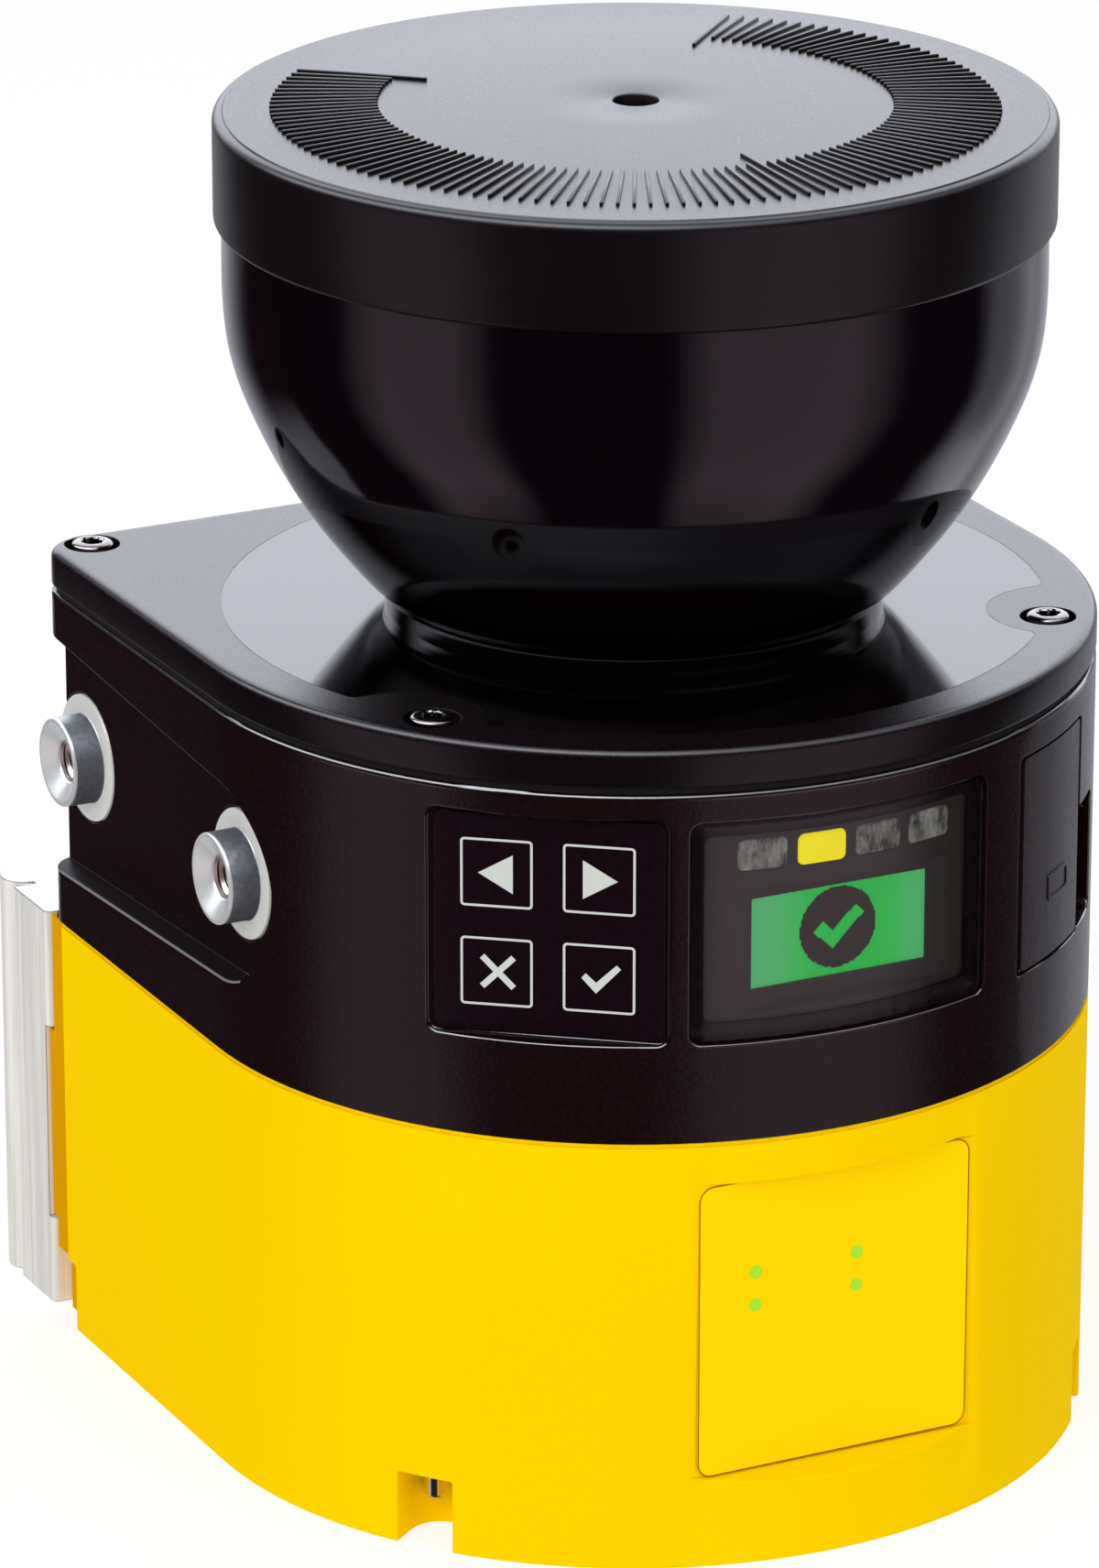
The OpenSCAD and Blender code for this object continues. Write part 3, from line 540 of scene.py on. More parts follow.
def fill(loops):
    """Triangulates the region between 2-D loops; returns points and triangles."""
    bm = bmesh.new()
    edges = []
    for lp in loops:
        vs = [bm.verts.new((x, y, 0)) for x, y in lp]
        edges += [bm.edges.new((a, b)) for a, b in zip(vs, vs[1:] + vs[:1])]
    bmesh.ops.triangle_fill(bm, use_beauty=True, use_dissolve=False, edges=edges, normal=(0, 0, 1))
    bm.verts.index_update()
    pts = [(v.co.x, v.co.y) for v in bm.verts]
    tri = []
    for f in bm.faces:
        ids = [v.index for v in f.verts]
        if f.normal.z < 0:
            ids.reverse()
        tri.append(tuple(ids))
    bm.free()
    return pts, tri


def plate(name, loops, put, thick, mat, angle=30, top_only=False):
    """Flat or curved plate from 2-D loops. put(x, y, t) places a point at height t over the base surface."""
    pts, tri = fill(loops)
    n = len(pts)
    verts = [put(x, y, thick) for x, y in pts]
    faces = list(tri)
    if not top_only:
        verts += [put(x, y, 0.0) for x, y in pts]
        faces += [tuple(n + k for k in reversed(t)) for t in tri]
        k = 0
        for lp in loops:
            m = len(lp)
            for i in range(m):
                a, b = k + i, k + (i + 1) % m
                faces.append((a, n + a, n + b, b))
            k += m
    o = mesh_obj(name, verts, faces, mat, angle=angle)
    recalc(o)
    shade(o, angle)
    return o


def face_at(ang, d):
    """Placer for a flat panel that faces the direction ang at distance d from the scan axis."""
    c, s = math.cos(rad(ang)), math.sin(rad(ang))

    def put(u, z, t):
        dd = d + t
        return (u * c + dd * s, u * s - dd * c, z)
    return put


# --------------------------------------------------------------------- camera

AZ, EL, DIST, ROLL = -27.332, 19.955, 987.60, 0.229
AIM = Vector((0, 0, 76.33))
FPX, PX, PY = 9001.064, 691.168, 866.775


def make_camera():
    a, e, r0 = rad(AZ), rad(EL), rad(ROLL)
    back = Vector((math.sin(a) * math.cos(e), -math.cos(a) * math.cos(e), math.sin(e)))
    fwd = -back
    r = fwd.cross(Vector((0, 0, 1))).normalized()
    u = r.cross(fwd).normalized()
    r2 = r * math.cos(r0) + u * math.sin(r0)
    u2 = -r * math.sin(r0) + u * math.cos(r0)
    loc = (AIM + back * DIST) * MM
    m = Matrix(((r2.x, u2.x, back.x, loc.x), (r2.y, u2.y, back.y, loc.y), (r2.z, u2.z, back.z, loc.z), (0, 0, 0, 1)))
    cam = bpy.data.cameras.new("camera")
    o = link(bpy.data.objects.new("camera", cam))
    o.matrix_world = m
    cam.sensor_fit = "AUTO"
    cam.sensor_width = 36.0
    cam.lens = FPX * 36.0 / 1712.0
    cam.shift_x = (600.0 - PX) / 1712.0
    cam.shift_y = (PY - 856.0) / 1712.0
    cam.clip_start = 0.01
    cam.clip_end = 100.0
    scene.camera = o
    return o


make_camera()

# --------------------------------------------------------- simple CAD finishes

FINISH = {
    "housing_seal": "rubber", "cover_seal": "rubber", "plug_seal": "rubber",
    "housing_screws": "steel", "plug_screws": "steel", "bench_screws": "steel", "cover_screws": "steel_dark",
    "locating_pins": "chrome", "optics_cover": "gloss", "optics_lid": "lid", "left_bushes": "alu_turned",
    "right_bushes": "alu_turned", "keypad_film": "film", "left_key": "inner_plastic", "right_key": "inner_plastic",
    "back_key": "inner_plastic", "confirm_key": "inner_plastic", "key_board": "pcb", "display_window": "glass",
    "display_carrier": "carrier", "indicator_lenses": "frosted", "display_screen": "dark_plastic",
    "display_board": "pcb", "usb_cover": "flap", "usb_hinge_pin": "steel", "usb_socket": "nickel",
    "status_label": "label", "status_light_guides": "guide", "system_plug": "alu_brushed",
    "plug_header": "dark_plastic", "board_receptacle": "dark_plastic", "power_connector": "nickel",
    "network_connectors": "nickel", "interface_board": "pcb", "main_board": "pcb", "board_standoffs": "steel",
    "optical_bench": "alu_cast", "upper_bearing": "steel", "lower_bearing": "steel", "motor_stator": "copper",
    "encoder_sensor": "dark_plastic", "receiver_module": "inner_plastic", "receiver_lens": "clear",
    "laser_tube": "brass", "rotor_shaft": "rotor", "motor_rotor": "rotor", "encoder_disc": "nickel",
    "scan_head": "inner_plastic", "scan_mirror": "mirror", "lower_housing": "yellow", "upper_housing": "black",
}
for n, k in FINISH.items():
    o = NODES[n]
    o.data.materials.clear()
    o.data.materials.append(M[k])


def lower_edges(a, b, e):
    """Edge radii of the lower housing: outer edges only, wider on the overhang and the ledge of the label panel."""
    def inside(p):
        return math.hypot(p.x, p.y) < 50.9 and abs(p.x) < 53 and p.y < 50 and p.z > 0.5
    if inside(a) or inside(b):
        return 0.0
    if abs(a.x) < 19 and abs(b.x) < 19 and a.y < -51 and b.y < -51:
        if a.z > 47.9 and b.z > 47.9 and a.z < 48.3 and b.z < 48.3 and (a.y < -52.1 or b.y < -52.1):
            return 0.5
        if a.z < 11.5 and b.z < 11.5 and (a.y < -52.1 or b.y < -52.1):
            return 0.4
        if a.z > 30 and b.z > 30 and a.z < 38 and b.z < 38:
            return 0.0
    if a.z > 52.9 and b.z > 52.9:
        return 0.0
    if (a.y > 46.5 or b.y > 46.5) or math.hypot(a.x, a.y) < 54.5:
        return 0.15
    return 0.3


def upper_edges(a, b, e):
    """Edge radii of the upper housing: outer edges only, wider on the top edge and the ledge of the side pockets."""
    def depth(p):
        return min(55 - math.hypot(p.x, p.y) if p.y < 0 else 99, 55 - abs(p.x), 51.1 - p.y if p.y > 0 else 99)
    da, db = depth(a), depth(b)
    if a.z > 95.9 and b.z > 95.9:
        return 0.7 if max(da, db) < 0.4 else 0.0
    if min(da, db) > 3.4:
        return 0.0
    if abs(a.x) > 51 and abs(b.x) > 51 and 55 < a.z < 93 and 55 < b.z < 93 and a.y > -14 and b.y > -14:
        if min(abs(a.x), abs(b.x)) < 54.7:
            return 0.07 if min(abs(a.x), abs(b.x)) < 51.9 else 0.0
        if abs(a.z - b.z) > 2.5 and abs(a.y - b.y) < 0.5:
            return 0.25
        return 0.6 if a.z + b.z < 150 else 0.22
    if max(da, db) > 0.9:
        return 0.0
    if a.z < 53.7 and b.z < 53.7:
        return 0.15
    ang = math.degrees(math.atan2(a.x + b.x, -(a.y + b.y)))
    if -54 < ang < -21 and 64 < min(a.z, b.z) and max(a.z, b.z) < 94:
        return 0.28
    if 22 < ang < 52:
        return 0.2
    return 0.3


def finish_pocket(o):
    """The ledges of the side pockets get painted shade, a darker and duller black on their floors, and a painted
    highlight, a light grey line, on their rounded outer edges.
    """
    o.data.materials.append(M["pocket"])
    o.data.materials.append(M["edge_line"])
    for f in o.data.polygons:
        c = f.center / MM
        # ledge floors: painted shade
        if abs(c.x) > 51.75 and 55 < c.z < 66 and f.normal.z > 0.9 and c.y > -14:
            f.material_index = 2
        # rounded outer edges of the ledges: painted highlight
        elif abs(c.x) > 54.3 and 55 < c.z < 66 and 0.5 < f.normal.z < 0.87 and c.y > -14:
            f.material_index = 3


def paint_strip_shade(o):
    """The narrow rear strip of the sides gets a darker, more orange copy of the yellow coat: painted shade on the
    recessed strip.
    """
    o.data.materials.append(M["yellow_thin"])
    for f in o.data.polygons:
        c = f.center / MM
        if c.y > 46.5 and abs(c.x) > 50 and c.z > 2:
            f.material_index = 1


bevelled("lower_housing", "lower_shell", M["yellow"], 0.32, 3, special=lower_edges, clamp=False)
bevelled("upper_housing", "upper_shell", M["black"], 0.32, 3, special=upper_edges, edge=M["black_edge"], clamp=False)
finish_pocket(bpy.data.objects["upper_shell"])
paint_strip_shade(bpy.data.objects["lower_shell"])
bevelled("system_plug", "plug_block", M["alu_brushed"], 1.1, 4, edge=M["alu_edge"])


# ------------------------------------------------------------- small helpers

def curve(pts, n):
    """Smooth curve through [(x, y)] with n steps per span."""
    out = []
    m = len(pts)
    for i in range(m - 1):
        p0, p1, p2, p3 = pts[max(i - 1, 0)], pts[i], pts[i + 1], pts[min(i + 2, m - 1)]
        for k in range(n):
            t = k / n
            out.append(tuple(0.5 * (2 * b + (c - a) * t + (2 * a - 5 * b + 4 * c - d) * t * t
                                    + (3 * b - a - 3 * c + d) * t ** 3) for a, b, c, d in zip(p0, p1, p2, p3)))
    out.append(pts[-1])
    return out


def loft(name, loops, mat, angle=35, caps=(False, False)):
    """Skin over loops of equal point count, each a list of (x, y, z) in mm."""
    n = len(loops[0])
    verts = [p for lp in loops for p in lp]
    faces = []
    for k in range(len(loops) - 1):
        for i in range(n):
            j = (i + 1) % n
            faces.append((k * n + i, k * n + j, (k + 1) * n + j, (k + 1) * n + i))
    if caps[0]:
        faces.append(tuple(reversed(range(n))))
    if caps[1]:
        faces.append(tuple(range((len(loops) - 1) * n, len(loops) * n)))
    o = mesh_obj(name, verts, faces, mat, angle=angle)
    recalc(o)
    shade(o, angle)
    return o


def joined(name, objs, angle=35, merge=0.0):
    """One object from several; their materials are kept."""
    mats, slots = [], {}
    bm = bmesh.new()
    for o in objs:
        for mt in o.data.materials:
            if mt.name not in slots:
                slots[mt.name] = len(mats)
                mats.append(mt)
    for o in objs:
        base = len(bm.faces)
        bm.from_mesh(o.data)
        bm.faces.ensure_lookup_table()
        idx = [slots[mt.name] for mt in o.data.materials]
        for f in bm.faces[base:]:
            f.material_index = idx[min(f.material_index, len(idx) - 1)]
    if merge:
        bmesh.ops.remove_doubles(bm, verts=bm.verts, dist=merge * MM)
    me = bpy.data.meshes.new(name)
    bm.to_mesh(me)
    bm.free()
    for mt in mats:
        me.materials.append(mt)
    for o in objs:
        bpy.data.objects.remove(o, do_unlink=True)
    r = link(bpy.data.objects.new(name, me))
    shade(r, angle)
    return r


def circle_hits(c0, r0, c1, r1):
    dx, dy = c1[0] - c0[0], c1[1] - c0[1]
    d = math.hypot(dx, dy)
    a = (r0 * r0 - r1 * r1 + d * d) / (2 * d)
    h = math.sqrt(r0 * r0 - a * a)
    mx, my = c0[0] + a * dx / d, c0[1] + a * dy / d
    return (mx + h * dy / d, my - h * dx / d), (mx - h * dy / d, my + h * dx / d)


def sweep(c, r, p, q, ccw, n):
    """Points on the circle (c, r) from the direction of p to that of q."""
    a0, a1 = math.atan2(p[1] - c[1], p[0] - c[0]), math.atan2(q[1] - c[1], q[0] - c[0])
    if ccw:
        while a1 < a0: a1 += 2 * pi
    else:
        while a1 > a0: a1 -= 2 * pi
    return [(c[0] + r * math.cos(a0 + (a1 - a0) * i / n), c[1] + r * math.sin(a0 + (a1 - a0) * i / n)) for i in range(n + 1)]


# --------------------------------------------------------------- optics cover

SEAM, TOP = 96.8, 101.3
COVER_SCREWS = [(40.4, -28.3), (-40.4, -28.3), (49.4, 47.1), (-49.4, 47.1)]


def gloss_outline(big=49.05, lobe=(43.1, -27.05), lr=8.97, f=1.6):
    """Circle of the polished field with two rounded notches around the front screws, counter-clockwise."""
    o = (0.0, 0.0)
    hits = circle_hits(o, big - f, lobe, lr + f)
    lo, hi = sorted(hits, key=lambda p: math.atan2(p[1], p[0]))
    def tip(fc): return (lobe[0] + (fc[0] - lobe[0]) * lr / (lr + f), lobe[1] + (fc[1] - lobe[1]) * lr / (lr + f))
    half = sweep(o, big, (0, -big), lo, True, 40)
    half += sweep(lo, f, lo_out(lo, big), tip(lo), True, 8)[1:]
    half += sweep(lobe, lr, tip(lo), tip(hi), False, 28)[1:]
    half += sweep(hi, f, tip(hi), lo_out(hi, big), True, 8)[1:]
    half += sweep(o, big, hi, (0, big), True, 90)[1:]
    left = [(-x, y) for x, y in reversed(half)][1:-1]
    return half + left


def lo_out(fc, big):
    k = big / math.hypot(*fc)
    return (fc[0] * k, fc[1] * k)


def ring2(cx, cy, r, n=48):
    return [(cx + r * math.cos(2 * pi * i / n), cy + r * math.sin(2 * pi * i / n)) for i in range(n)]


def build_cover():
    # rim of the flange: side wall and rounded upper edge
    prof = [(2.2, SEAM), (0.4, SEAM)]
    prof += [(0.4 - 0.4 * math.sin(rad(a)), SEAM + 0.4 - 0.4 * math.cos(rad(a))) for a in (22, 45, 67, 90)]
    prof.append((0.0, TOP - 1.05))
    for k in range(1, 9):
        t = rad(90 * k / 8)
        prof.append((1.0 * (1 - math.cos(t)), TOP - 1.05 + 1.05 * math.sin(t)))
    prof.append((1.6, TOP))
    loops = [[(x, y, z) for x, y in d_outline(i, 140, 14)] for i, z in prof]
    rim = loft("cover_rim", loops, M["flange_matte"], 40)
    # top faces: polished field and satin surround
    g = gloss_outline()
    holes = [ring2(x, y, 3.45) for x, y in COVER_SCREWS]
    def at(z): return lambda x, y, t: (x, y, z)
    satin = plate("cover_satin", [d_outline(1.6, 140, 14), g] + holes, at(TOP), 0, M["flange_matte"], 20, True)
    gi = gloss_outline(48.97, (43.1, -27.05), 9.05, 1.52)
    n = len(g)
    groove = loft("cover_groove", [[(x, y, TOP) for x, y in g], [(x, y, TOP - 0.04) for x, y in g],
                                   [(x, y, TOP - 0.04) for x, y in gi], [(x, y, TOP) for x, y in gi]], M["flange_matte"], 30)
    field = plate("cover_field", [gi, ring2(0, 0, 29.5, 192)], at(TOP), 0, M["gloss"], 20, True)
    parts = [rim, satin, groove, field]
    for x, y in COVER_SCREWS:
        prof = [(3.45, TOP), (3.36, TOP - 0.05), (3.3, TOP - 0.18), (3.3, TOP - 2.1), (1.6, TOP - 2.1), (1.6, SEAM)]
        parts.append(lathe("bore", prof, 48, M["flange_matte"], at=lambda r, a, h, x=x, y=y: (x + r * math.cos(a), y + r * math.sin(a), h)))
    # underside and neck bore
    parts.append(plate("cover_under", [d_outline(2.2, 140, 14), ring2(0, 0, 27.3, 192)], at(SEAM), 0, M["flange_matte"], 20, True))
    pts = [(101.3, 29.62), (102.4, 29.6), (103.5, 29.72), (104.2, 30.45), (106, 32.45), (110, 35.8), (114, 38.8), (118, 41.3), (122, 43.45),
           (126, 45.3), (130, 46.85), (134, 47.85), (138, 48.28), (142, 48.4), (148.4, 48.35)]
    outer = [(r, z) for z, r in curve(pts, 5)]
    inner = [(r - 2.7, z) for r, z in reversed(outer[::5]) if z > 102.5]
    prof = outer + [(46.9, 148.4), (46.9, 151.4), (45.8, 151.4)] + inner + [(27.3, 102.2), (27.3, SEAM)]
    parts.append(lathe("bowl", prof, 224, M["gloss"], angle=30))
    o = joined("cover_body", parts, 35)
    place(o, "housing", "optics_cover")


build_cover()


def build_cover_screws():
    parts = []
    n = 48
    for k, (x, y) in enumerate(COVER_SCREWS):
        turn = 0.4 + 1.3 * k
        def circ(r, z): return [(x + r * math.cos(2 * pi * i / n), y + r * math.sin(2 * pi * i / n), z) for i in range(n)]
        def lobes(z, s=1.0):
            return [(x + s * (1.28 + 0.12 * math.cos(6 * (2 * pi * i / n + turn))) * math.cos(2 * pi * i / n),
                     y + s * (1.28 + 0.12 * math.cos(6 * (2 * pi * i / n + turn))) * math.sin(2 * pi * i / n), z) for i in range(n)]
        loops = [circ(1.5, 88), circ(1.5, TOP - 2.1), circ(2.48, TOP - 2.1), circ(2.55, TOP - 2.03), circ(2.55, TOP - 0.2)]
        for t in (6, 14, 26, 40, 54, 68, 80, 90):
            loops.append(circ(1.72 + 0.83 * math.cos(rad(t)), TOP - 0.12 + 0.54 * math.sin(rad(t))))
        loops += [circ(1.5, TOP + 0.42), lobes(TOP + 0.36, 1.08), lobes(TOP + 0.22), lobes(TOP - 0.9), lobes(TOP - 1.05, 0.3)]
        parts.append(loft("screw", loops, M["steel_dark"], 32, (True, True)))
    o = place(joined("cover_screw_set", parts, 32), "housing", "cover_screws")
    o.visible_glossy = False


build_cover_screws()


# -------------------------------------------------------------------- lid

def build_lid():
    z0, z1 = 148.4, 161.4
    prof = [(0, z1 - 3.2), (44, z1 - 3.2), (47, z1 - 6), (47, z0), (48.6, z0)]
    prof += [(48.6 + 0.7 * math.cos(rad(a)), z0 + 0.7 + 0.7 * math.sin(rad(a))) for a in (-72, -54, -36, -18, 0)]
    prof += [(49.3, z1 - 1.35)]
    prof += [(48.3 + 1.0 * math.cos(rad(a)), z1 - 1.35 + 1.12 * math.sin(rad(a))) for a in (12, 24, 36, 48, 60, 72, 84)]
    prof += [(48.2, z1 - 0.2), (48.12, z1 - 0.16), (48.08, z1 - 0.08), (48.0, z1), (47.5, z1 + 0.01)]
    prof += [(42.4, z1 + 0.03), (36.3, z1 + 0.26), (30.2, z1 + 0.45), (22, z1 + 0.6), (12, z1 + 0.72), (2.95, z1 + 0.79)]
    prof += [(2.78, z1 + 0.74), (2.7, z1 + 0.62), (2.7, z1 - 1.8), (0, z1 - 1.8)]
    lid = lathe("lid", prof, 224, M["lid"], angle=38)
    def top(r):
        for (r0, h0), (r1, h1) in zip([(47.5, 0.01), (42.4, 0.03), (36.3, 0.26), (30.2, 0.45), (22, 0.6)],
                                      [(42.4, 0.03), (36.3, 0.26), (30.2, 0.45), (22, 0.6), (12, 0.72)]):
            if r1 <= r <= r0:
                return z1 + h0 + (h1 - h0) * (r0 - r) / (r0 - r1)
        return z1 + 0.7
    verts, faces = [], []
    w, cnt, span = 0.2, 111, 275.0
    for i in range(cnt):
        a = rad(-90 - span / 2 + span * i / (cnt - 1))
        inner = 26.3 if i in (0, cnt // 2, cnt - 1) else 30.2
        d, s = (math.cos(a), math.sin(a)), (-math.sin(a), math.cos(a))
        outl = [(42.4 + w * math.cos(rad(t)), w * math.sin(rad(t)), math.cos(rad(t)), math.sin(rad(t))) for t in range(-90, 91, 30)]
        outl += [(36.3, w, 0, 1)]
        outl += [(inner + w * math.cos(rad(t)), w * math.sin(rad(t)), math.cos(rad(t)), math.sin(rad(t))) for t in range(90, 271, 30)]
        outl += [(36.3, -w, 0, -1)]
        n = len(outl)
        base = len(verts)
        for h, ins in ((-0.1, 0.0), (0.27, 0.0), (0.36, 0.035), (0.41, 0.10)):
            for r, u, nr, nu in outl:
                rr, uu = r - nr * ins, u - nu * ins
                verts.append((d[0] * rr + s[0] * uu, d[1] * rr + s[1] * uu, top(min(max(rr, 22.1), 47)) + h))
        for k in range(3):
            for j in range(n):
                q = (j + 1) % n
                faces.append((base + k * n + j, base + k * n + q, base + (k + 1) * n + q, base + (k + 1) * n + j))
        faces.append(tuple(base + 3 * n + j for j in range(n)))
    ribs = mesh_obj("ribs", verts, faces, M["lid"], angle=45)
    recalc(ribs)
    shade(ribs, 45)
    place(joined("lid_body", [lid, ribs], 40), "housing", "optics_lid")


build_lid()


# ------------------------------------------------------------------ keypad

def build_keypad():
    put = face_at(-37.8, 53.0)
    def up(u, z, t): return put(u, z, t)
    cx, cz = 0.15, 79.25
    def rr(i): return [(u + cx, z + cz) for u, z in rounded(26.8 - 2 * i, 26.3 - 2 * i, 1.2 - i, 8)]
    loops = [[put(u, z, -0.3) for u, z in rr(0)], [put(u, z, -0.06) for u, z in rr(0)],
             [put(u, z, -0.015) for u, z in rr(0.03)], [put(u, z, 0.0) for u, z in rr(0.08)]]
    film = loft("film", loops, M["film"], 40, (True, True))
    parts = [film]
    def add(loops2):
        parts.append(plate("print", loops2, up, 0.025, M["print"], 30))
    for u in (-5.95, 5.95):
        for z in (85.2, 73.2):
            add([[(a + u, b + z) for a, b in rounded(8.4, 8.3, 0.5, 6)],
                 [(a + u, b + z) for a, b in rounded(7.84, 7.74, 0.24, 6)]])
    add([[(-8.1, 85.15), (-4.05, 82.8), (-4.05, 87.5)]])
    add([[(8.1, 85.15), (4.05, 87.5), (4.05, 82.8)]])
    c, k, h = (-5.8, 73.2), 0.53, 2.1
    add([[(c[0] + x, c[1] + z) for x, z in [(-h, -h + k), (-h + k, -h), (0, -k), (h - k, -h), (h, -h + k), (k, 0), (h, h - k),
                                            (h - k, h), (0, k), (-h + k, h), (-h, h - k), (-k, 0)]]])
    add([[(3.9, 73.2), (5.6, 71.4), (8.5, 74.5), (8.0, 75.0), (5.6, 72.7), (4.4, 73.8)]])
    place(joined("film_body", parts, 40), "housing", "keypad_film")


build_keypad()


# ----------------------------------------------------------------- display

def build_display():
    put = face_at(0.0, 50.5)
    cx, cz = 0.3, 76.35
    body = plate("screen_body", [[(u + cx, z + cz) for u, z in rounded(27, 14.2, 0.3, 4)]], lambda u, z, t: put(u, z, t - 3.1), 3.1, M["screen"])
    # the dark disc and the tick are drawn with square screen dots
    dot = 0.22
    def rows(inside, x0, x1, z0, z1, t, mat, name):
        verts, faces = [], []
        z = z0
        while z < z1:
            x, start = x0, None
            while x <= x1 + dot:
                on = inside(x + dot / 2, z + dot / 2) and x <= x1
                if on and start is None:
                    start = x
                if not on and start is not None:
                    n = len(verts)
                    verts += [put(start, z, t), put(x, z, t), put(x, z + dot, t), put(start, z + dot, t)]
                    verts += [put(start, z, 0), put(x, z, 0), put(x, z + dot, 0), put(start, z + dot, 0)]
                    faces += [(n, n + 1, n + 2, n + 3), (n, n + 4, n + 5, n + 1), (n + 2, n + 6, n + 7, n + 3),
                              (n + 1, n + 5, n + 6, n + 2), (n, n + 3, n + 7, n + 4)]
                    start = None
                x += dot
            z += dot
        o = mesh_obj(name, verts, faces, mat, angle=20)
        return o
    disc = rows(lambda x, z: math.hypot(x - 0.4, z - 76.5) < 4.95, -4.6, 5.4, 71.5, 81.5, 0.02, M["lcd_dark"], "screen_disc")
    tp = [(-2.78, 76.31), (-0.28, 73.89), (3.74, 77.78), (2.68, 78.86), (-0.25, 76.21), (-1.61, 77.4)]
    def in_tick(x, z):
        c = False
        for (xa, za), (xb, zb) in zip(tp, tp[1:] + tp[:1]):
            if (za > z) != (zb > z) and x < (xb - xa) * (z - za) / (zb - za) + xa:
                c = not c
        return c
    tick = rows(in_tick, -3.0, 4.0, 73.7, 79.1, 0.04, M["screen"], "screen_tick")
    place(joined("screen_unit", [body, disc, tick], 30), "housing", "display_screen")
    # indicator lenses: domed front, the second from the left is lit
    parts = []
    for k, a in enumerate((-11.1, -3.25, 4.7, 12.55)):
        put2 = face_at(a, 0.0)
        mat = M["lamp_on"] if k == 1 else M["frosted"]
        loops = []
        for i, d in ((0.0, 48.5), (0.0, 52.75), (0.06, 52.92), (0.22, 53.02), (0.6, 53.05)):
            loops.append([put2(u, z + 87.55, d) for u, z in rounded(6.0 - 2 * i, 3.75 - 2 * i, max(0.8 - i, 0.1), 6)])
        parts.append(loft("lens", loops, mat, 40, (True, True)))
    place(joined("lens_row", parts, 40), "housing", "indicator_lenses")
    # the carrier's bevel faces get the lighter painted highlight
    bevelled("display_carrier", "carrier_body", M["carrier"], 0.25, 2, edge=M["carrier_edge"])
    # bent window with rounded edges
    def bent(u, z, r):
        return (u, -math.sqrt(r * r - u * u), z)
    def rows(i, r): return [bent(u, z + 78.95, r) for u, z in dense(rounded(37.9 - 2 * i, 26.4 - 2 * i, 1.2 - i, 6))]
    def dense(lp):
        out = []
        for (x0, y0), (x1, y1) in zip(lp, lp[1:] + lp[:1]):
            n = max(1, int(math.hypot(x1 - x0, y1 - y0) / 0.8))
            out += [(x0 + (x1 - x0) * j / n, y0 + (y1 - y0) * j / n) for j in range(n)]
        return out
    front = grid_face(lambda u, z: bent(u, z + 78.95, 54.7), dense(rounded(37.9 - 0.6, 26.4 - 0.6, 0.9, 6)), M["glass"], "window_front")
    back = grid_face(lambda u, z: bent(u, z + 78.95, 53.3), dense(rounded(37.9, 26.4, 1.2, 6)), M["glass"], "window_back")
    lip = []
    for i, r in ((0.12, 53.34), (1.75, 53.34), (1.9, 53.44)):
        lip.append([bent(u, z + 78.95, r) for u, z in dense_n(37.9, 26.4, 1.2, i)])
    border = loft("window_border", lip, M["window_border"], 40)
    edge = loft("window_edge", [rows(0, 53.3), rows(0, 54.4), rows(0.09, 54.61), rows(0.3, 54.7)], M["glass"], 40)
    place(joined("window_body", [front, back, edge, border], 40, 0.003), "housing", "display_window")


def dense_n(w, h, r, i):
    """Outline of a rounded rectangle moved inwards by i, with the same number of points for every i."""
    base = rounded(w, h, r, 6)
    out = []
    for (x0, y0), (x1, y1) in zip(base, base[1:] + base[:1]):
        n = max(1, int(math.hypot(x1 - x0, y1 - y0) / 0.8))
        out += [(x0 + (x1 - x0) * j / n, y0 + (y1 - y0) * j / n) for j in range(n)]
    kx, ky = (w - 2 * i) / w, (h - 2 * i) / h
    return [(x * kx, y * ky) for x, y in out]


def grid_face(put, outline, mat, name):
    """Surface over an outline, cut into upright strips so that it follows a bend."""
    pts, tri = fill([outline])
    bm = bmesh.new()
    vs = [bm.verts.new((x, y, 0)) for x, y in pts]
    for t in tri:
        bm.faces.new([vs[k] for k in t])
    xs = [p[0] for p in pts]
    x = min(xs) + 1.2
    while x < max(xs) - 0.6:
        geom = bm.verts[:] + bm.edges[:] + bm.faces[:]
        bmesh.ops.bisect_plane(bm, geom=geom, plane_co=(x, 0, 0), plane_no=(1, 0, 0), dist=1e-5)
        x += 1.2
    bm.verts.index_update()
    verts = [put(v.co.x, v.co.y) for v in bm.verts]
    faces = [tuple(v.index for v in f.verts) for f in bm.faces]
    bm.free()
    o = mesh_obj(name, verts, faces, mat, angle=40)
    return o


build_display()


# -------------------------------------------------------------------- label

def build_label():
    put = face_at(0.0, 51.9)
    cx, cz = -0.3, 29.6
    def rr(i): return [(u + cx, z + cz) for u, z in rounded(35.6 - 2 * i, 36.5 - 2 * i, 1.8 - i, 8)]
    dots = [ring2(x, z, 0.8, 32) for x, z in ((-10.7, 36.1), (-10.7, 32.0), (2.6, 36.1), (2.6, 32.0))]
    film = plate("label_film", [rr(0.0)] + dots, put, 0.15, M["label"], 30)
    # thin brown ring along the film's rim: painted shadow of the gap around the label
    line = plate("label_shadow_line", [rr(0.0), rr(0.16)], lambda u, z, t: put(u, z, 0.15 + t - 0.03), 0.035, M["label_edge_shadow"], 30)
    place(joined("label_body", [film, line], 30), "housing", "status_label")


build_label()


# ------------------------------------------------------------------- bushes

